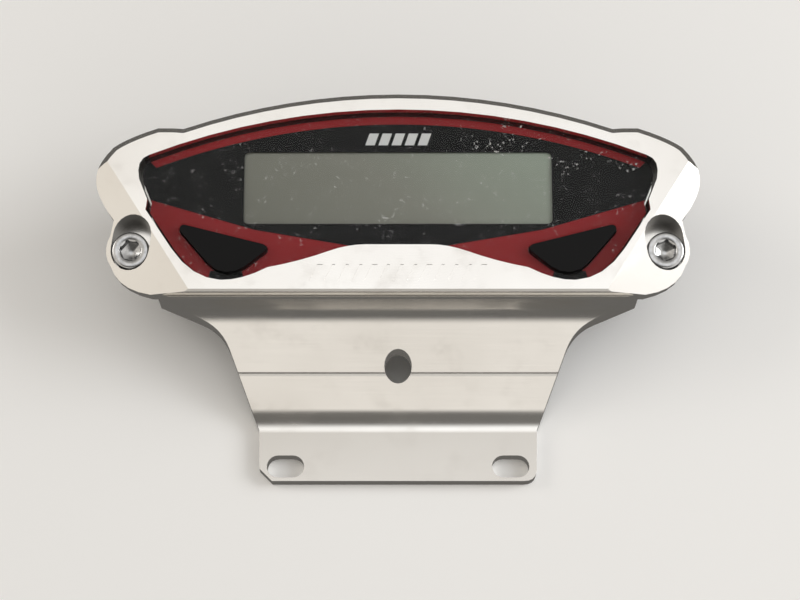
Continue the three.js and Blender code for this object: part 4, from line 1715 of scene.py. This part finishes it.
@dataclass
class PanScrews:
    """A set of small pan-head screws that hold the gauge together from behind."""

    name: str
    finish: Finish
    nodes: list[str]
    shank: float
    head_height: float
    drive: float = 6.0
    thread: float = 0.7 * MILLIMETRE

    def build(self) -> None:
        """Makes the screws, heads towards the back."""
        low, high = FACE.extent(self.nodes[0])
        radius, length = (high.x - low.x) / 2, high.z - low.z
        top, seat = length, length - self.head_height
        recess = radius * 0.52
        section = [
            Ring(0.0, top - self.head_height * 0.75),
            Ring(recess * 0.45, top - self.head_height * 0.62),
            Ring(recess * 0.8, top - self.head_height * 0.32, ribs=1.0),
            Ring(recess * 0.95, top - 0.03 * MILLIMETRE, ribs=1.0),
            Ring(recess * 1.3, top),
            Ring(radius * 0.72, top - self.head_height * 0.06),
            Ring(radius * 0.88, top - self.head_height * 0.22),
            Ring(radius * 0.97, top - self.head_height * 0.48),
            Ring(radius, top - self.head_height * 0.72),
            Ring(radius, seat + 0.08 * MILLIMETRE),
            Ring(radius * 0.96, seat),
            Ring(self.shank, seat),
        ]
        turns = int((seat - self.shank * 1.4) / self.thread)
        for turn in range(turns):
            crest = seat - turn * self.thread
            section.append(Ring(self.shank, crest - self.thread * 0.2))
            section.append(Ring(self.shank * 0.74, crest - self.thread * 0.55))
            section.append(Ring(self.shank * 0.74, crest - self.thread * 0.75))
        section += [Ring(self.shank * 0.9, self.shank * 1.3), Ring(0.0, 0.0)]
        places = [crown_of(node, 0.4 + 1.1 * index) for index, node in enumerate(self.nodes)]
        TurnedParts(
            self.name, self.finish, section, places, self.nodes, 72, self.drive, recess * 0.24
        ).build()


@dataclass
class EarHardware:
    """What hangs under each side lug: bush, grommet, washer and lock nut."""

    bore: float = 3.3 * MILLIMETRE
    nut_flats: float = 10.0 * MILLIMETRE
    nut_body: float = 5.0 * MILLIMETRE
    ease: float = 0.3 * MILLIMETRE

    def build(self) -> None:
        """Makes the four kinds, each kind as one piece."""
        self._pipes("ear_bushes", "ear_bush", STEEL, 64)
        self._pipes("ear_washers", "ear_washer", ZINC, 72)
        self._grommets()
        self._nuts()

    def _nodes(self, word: str) -> list[str]:
        """Names one kind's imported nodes.

        Args:
            word: What their names start with.

        Returns:
            The two names.
        """
        return [f"{word}_{side.word}" for side in Side]

    def _pipes(self, name: str, word: str, finish: Finish, segments: int) -> None:
        """A plain ring with eased edges.

        Args:
            name: The piece's name.
            word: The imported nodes' word.
            finish: The finish.
            segments: How many sides it is turned with.
        """
        nodes = self._nodes(word)
        low, high = FACE.extent(nodes[0])
        radius, height, ease = (high.x - low.x) / 2, high.z - low.z, self.ease * 0.7
        section = [
            Ring(self.bore, ease),
            Ring(self.bore + ease, 0.0),
            *eased_corner(radius, 0.0, ease, upward=True),
            *eased_corner(radius, height, ease, upward=False),
            Ring(self.bore + ease, height),
            Ring(self.bore, height - ease),
            Ring(self.bore, ease),
        ]
        places = [foot_of(node, 0.0) for node in nodes]
        TurnedParts(name, finish, section, places, nodes, segments).build()

    def _grommets(self) -> None:
        """The rubber grommets, with a waist where the case's ear sits."""
        nodes = self._nodes("ear_grommet")
        points = FACE.points(nodes[0])
        centre = (points[:, 0].min() + points[:, 0].max()) / 2
        middle = (points[:, 1].min() + points[:, 1].max()) / 2
        radii = np.hypot(points[:, 0] - centre, points[:, 1] - middle)
        outer, inner = float(radii.max()), float(radii.min())
        base = float(points[:, 2].min())
        waist = points[(radii < outer - 0.5 * MILLIMETRE) & (radii > inner + 0.5 * MILLIMETRE)]
        low, high = float(waist[:, 2].min()) - base, float(waist[:, 2].max()) - base
        neck = float(np.hypot(waist[:, 0] - centre, waist[:, 1] - middle).max())
        top, ease = float(points[:, 2].max()) - base, self.ease * 1.4
        section = [
            Ring(inner, 0.0),
            *eased_corner(outer, 0.0, ease, upward=True),
            Ring(outer, low - ease),
            Ring(outer - ease * 0.4, low),
            Ring(neck, low),
            Ring(neck, high),
            Ring(outer - ease * 0.4, high),
            Ring(outer, high + ease),
            *eased_corner(outer, top, ease, upward=False),
            Ring(inner, top),
            Ring(inner, 0.0),
        ]
        places = [foot_of(node, 0.0) for node in nodes]
        TurnedParts("ear_grommets", RUBBER, section, places, nodes, 72).build()

    def _nuts(self) -> None:
        """The lock nuts: a chamfered hexagon with a round locking collar below it."""
        nodes = self._nodes("ear_nut")
        low, high = FACE.extent(nodes[0])
        height, half = high.z - low.z, self.nut_flats / 2
        shoulder, ease = height - self.nut_body, self.ease
        collar = half * 0.9
        section = [
            Ring(self.bore - 0.1 * MILLIMETRE, 0.3 * MILLIMETRE),
            Ring(self.bore + 0.3 * MILLIMETRE, 0.0),
            *eased_corner(collar, 0.0, ease, upward=True),
            Ring(collar, shoulder),
            Ring(half * 0.98, shoulder),
            Ring(half * 1.02, shoulder + ease * 0.9, flats=1.0),
            Ring(half * 1.02, height - ease * 0.9, flats=1.0),
            Ring(half * 0.98, height),
            Ring(self.bore + 0.3 * MILLIMETRE, height),
            Ring(self.bore - 0.1 * MILLIMETRE, height - 0.3 * MILLIMETRE),
            Ring(self.bore - 0.1 * MILLIMETRE, 0.3 * MILLIMETRE),
        ]
        places = [foot_of(node, math.pi / 6) for node in nodes]
        TurnedParts(
            "ear_nuts", ZINC, section, places, nodes, 144, across_flats=self.nut_flats
        ).build()


@dataclass
class Fixings:
    """Every screw, nut, washer, bush and grommet."""

    def build(self) -> None:
        """Makes the fixings, kind by kind."""
        CapScrews(ZINC).build()
        EarHardware().build()
        case_screws = [f"case_screw_{number}" for number in range(1, 7)]
        PanScrews("case_screws", ZINC, case_screws, 1.3 * MILLIMETRE, 2.2 * MILLIMETRE).build()
        board_screws = [f"board_screw_{number}" for number in range(1, 5)]
        PanScrews("board_screws", STEEL, board_screws, 0.9 * MILLIMETRE, 1.4 * MILLIMETRE).build()


@dataclass
class CableInlet:
    """The rubber grommet through which the wires leave the case."""

    rings: int = 3
    bore: float = 2.5 * MILLIMETRE
    stem: float = 4.4 * MILLIMETRE
    stem_height: float = 4.0 * MILLIMETRE

    def build(self) -> None:
        """Makes the grommet, its collar ribbed like a bellows."""
        low, high = FACE.extent("cable_gland")
        radius, height = (high.x - low.x) / 2, high.z - low.z
        collar = height - self.stem_height
        rib = collar / self.rings
        section = [Ring(self.bore, height), Ring(self.bore, 0.0), Ring(radius * 0.6, 0.0)]
        for index in range(self.rings):
            reach = radius * (0.72 + 0.28 * (index + 1) / self.rings)
            base = index * rib
            section += [
                Ring(reach - 0.35 * MILLIMETRE, base + rib * 0.05),
                Ring(reach, base + rib * 0.3),
                Ring(reach, base + rib * 0.62),
                Ring(reach - 0.45 * MILLIMETRE, base + rib * 0.88),
            ]
        section += [
            Ring(radius - 0.5 * MILLIMETRE, collar),
            Ring(self.stem, collar),
            Ring(self.stem, height - 0.4 * MILLIMETRE),
            Ring(self.stem - 0.4 * MILLIMETRE, height),
            Ring(self.bore, height),
        ]
        places = [foot_of("cable_gland", 0.0)]
        TurnedParts("cable_grommet", RUBBER, section, places, ["cable_gland"], 72).build()


@dataclass
class Studio:
    """The floor, the light and the camera."""

    lens: float = 85.0
    sensor: float = 36.0
    pitch: float = math.radians(20.0)
    distance: float = 0.5029
    frame_width: int = 800
    frame_height: int = 600
    aim: tuple[float, float] = (398.0, 188.5)
    floor_half: float = 3.0
    floor_drop: float = 0.2 * MILLIMETRE
    floor_colour: Colour = (0.95, 0.95, 0.945)
    table_half: float = 1.2
    table_drop: float = 0.1 * MILLIMETRE
    table_grey: float = 0.13
    shade_pitch: float = math.radians(33.0)
    shade_rim: float = math.radians(33.0)
    shade_core: float = math.radians(18.0)
    warm: Colour = (1.0, 0.935, 0.845)
    cool: Colour = (0.985, 0.99, 1.0)
    target: tuple[float, float, float] = (0.0, 0.05, 0.03)

    def build(self) -> None:
        """Makes the floor, the lights and the camera."""
        self._floor()
        self._tent()
        self._box("left_box", (-0.85, 0.3, 0.75), 0.45, 1.6, (1.0, 0.96, 0.9))
        self._box("right_box", (0.9, 0.15, 0.72), 0.6, 4.5, (0.98, 0.99, 1.0))
        self._table()
        self._camera()

    @staticmethod
    def _square(
        name: str, half: float, drop: float, coat: Coat, shader: bpy.types.Node
    ) -> bpy.types.Object:
        """Adds a level square just under the foot.

        Args:
            name: Its name.
            half: Half its side.
            drop: How far under the foot it lies.
            coat: Its material's tree.
            shader: The tree's last shader.

        Returns:
            The square.
        """
        mesh = bpy.data.meshes.new(name)
        level = CAD_BOX[0].z - drop
        signs = ((-1, -1), (1, -1), (1, 1), (-1, 1))
        mesh.from_pydata([(x * half, y * half, level) for x, y in signs], [], [(0, 1, 2, 3)])
        mesh.materials.append(coat.done(shader.outputs[0]))
        made = bpy.data.objects.new(name, mesh)
        bpy.context.scene.collection.objects.link(made)
        return made

    def _floor(self) -> None:
        """A plain pale floor that the foot stands on."""
        coat = Coat("floor_paint")
        cloud = coat.noise(6.0, 2.0, 0.5)
        pale = tuple(part * 0.985 for part in self.floor_colour)
        tone = coat.tinted(cloud, self.floor_colour, pale)
        shader = coat.surface({"Base Color": tone, "Roughness": 0.8 + cloud * 0.1})
        self._square("floor", self.floor_half, self.floor_drop, coat, shader)

    def _table(self) -> None:
        """A dark card on the floor that only glossy surfaces see."""
        coat = Coat("table_paper")
        grey = self.table_grey
        glow = coat.node("ShaderNodeEmission", values={0: (grey, grey * 0.96, grey * 0.9)})
        card = self._square("table_card", self.table_half, self.table_drop, coat, glow)
        for ray in ("camera", "diffuse", "transmission", "volume_scatter", "shadow"):
            setattr(card, f"visible_{ray}", False)

    def _tent(self) -> None:
        """A light tent: brightest overhead, darker behind, low down and round the camera."""
        bpy.context.scene.view_settings.view_transform = "Standard"
        world = bpy.data.worlds.new("tent")
        bpy.context.scene.world = world
        world.use_nodes = True
        bench = Bench(world.node_tree)
        bench.tree.nodes.clear()
        way = bench.node("ShaderNodeTexCoord").outputs["Generated"]
        split = bench.node("ShaderNodeSeparateXYZ", values={0: way}).outputs
        across, along, height = (bench.number(output) for output in split)
        side = across.rises(-0.75, 0.75)
        behind = along.rises(0.1, 0.5)
        low = 1 - height.rises(-0.02, 0.26)
        pitch = self.shade_pitch
        near = height * math.cos(pitch) - along * math.sin(pitch) - across * 0.06
        shaded = near.rises(math.cos(self.shade_rim), math.cos(self.shade_core))
        top = height.rises(0.95, 1.0)
        level = 0.8 + side * 0.16 + top * 0.3 - shaded * 0.74 - behind * 0.54 - low * 0.56
        tone = (side * 0.55 + top * 0.6).kept()
        values = {0: tone, 6: self.warm, 7: self.cool}
        tint = bench.node("ShaderNodeMix", {"data_type": "RGBA"}, values)
        glow = bench.node("ShaderNodeBackground", values={0: tint.outputs[2], 1: level})
        bench.node("ShaderNodeOutputWorld", values={0: glow.outputs[0]})

    def _box(
        self, name: str, place: Sequence[float], size: float, power: float, colour: Colour
    ) -> None:
        """Adds a square soft box.

        Args:
            name: The light's name.
            place: Where it stands.
            size: Its side, in metres.
            power: Its power, in watts.
            colour: Its colour.
        """
        lamp = bpy.data.lights.new(name, "AREA")
        lamp.shape = "SQUARE"
        lamp.size = size
        lamp.energy = power
        lamp.color = colour
        made = bpy.data.objects.new(name, lamp)
        made.location = place
        way = Vector(self.target) - Vector(place)
        made.rotation_euler = way.to_track_quat("-Z", "Y").to_euler()
        bpy.context.scene.collection.objects.link(made)

    def _camera(self) -> None:
        """A camera that looks down over the foot at the face."""
        data = bpy.data.cameras.new("camera")
        data.lens = self.lens
        data.sensor_width = self.sensor
        data.clip_start = 0.01
        back = Vector((0.0, -math.sin(self.pitch), math.cos(self.pitch)))
        up = Vector((0.0, math.cos(self.pitch), math.sin(self.pitch)))
        focal = self.lens / data.sensor_width * self.frame_width
        across = (self.aim[0] - self.frame_width / 2) / focal
        rise = (self.frame_height / 2 - self.aim[1]) / focal
        way = Vector((across, 0.0, 0.0)) + up * rise - back
        camera = bpy.data.objects.new("camera", data)
        camera.location = Vector((0.0, FACE.y, FACE.z)) - way * self.distance
        camera.rotation_euler = (self.pitch, 0.0, 0.0)
        bpy.context.scene.collection.objects.link(camera)
        bpy.context.scene.camera = camera


def main() -> None:
    """Builds the cluster, part by part, and the studio round it."""
    logging.basicConfig(level=logging.INFO, format="%(name)s %(message)s")
    for kind in (Guard, FacePrint, Display, Keys, Electronics, Housing, Fixings, Studio):
        group = kind()
        group.build()
        log.info("%s done", type(group).__name__)


if __name__ == "__main__":
    main()
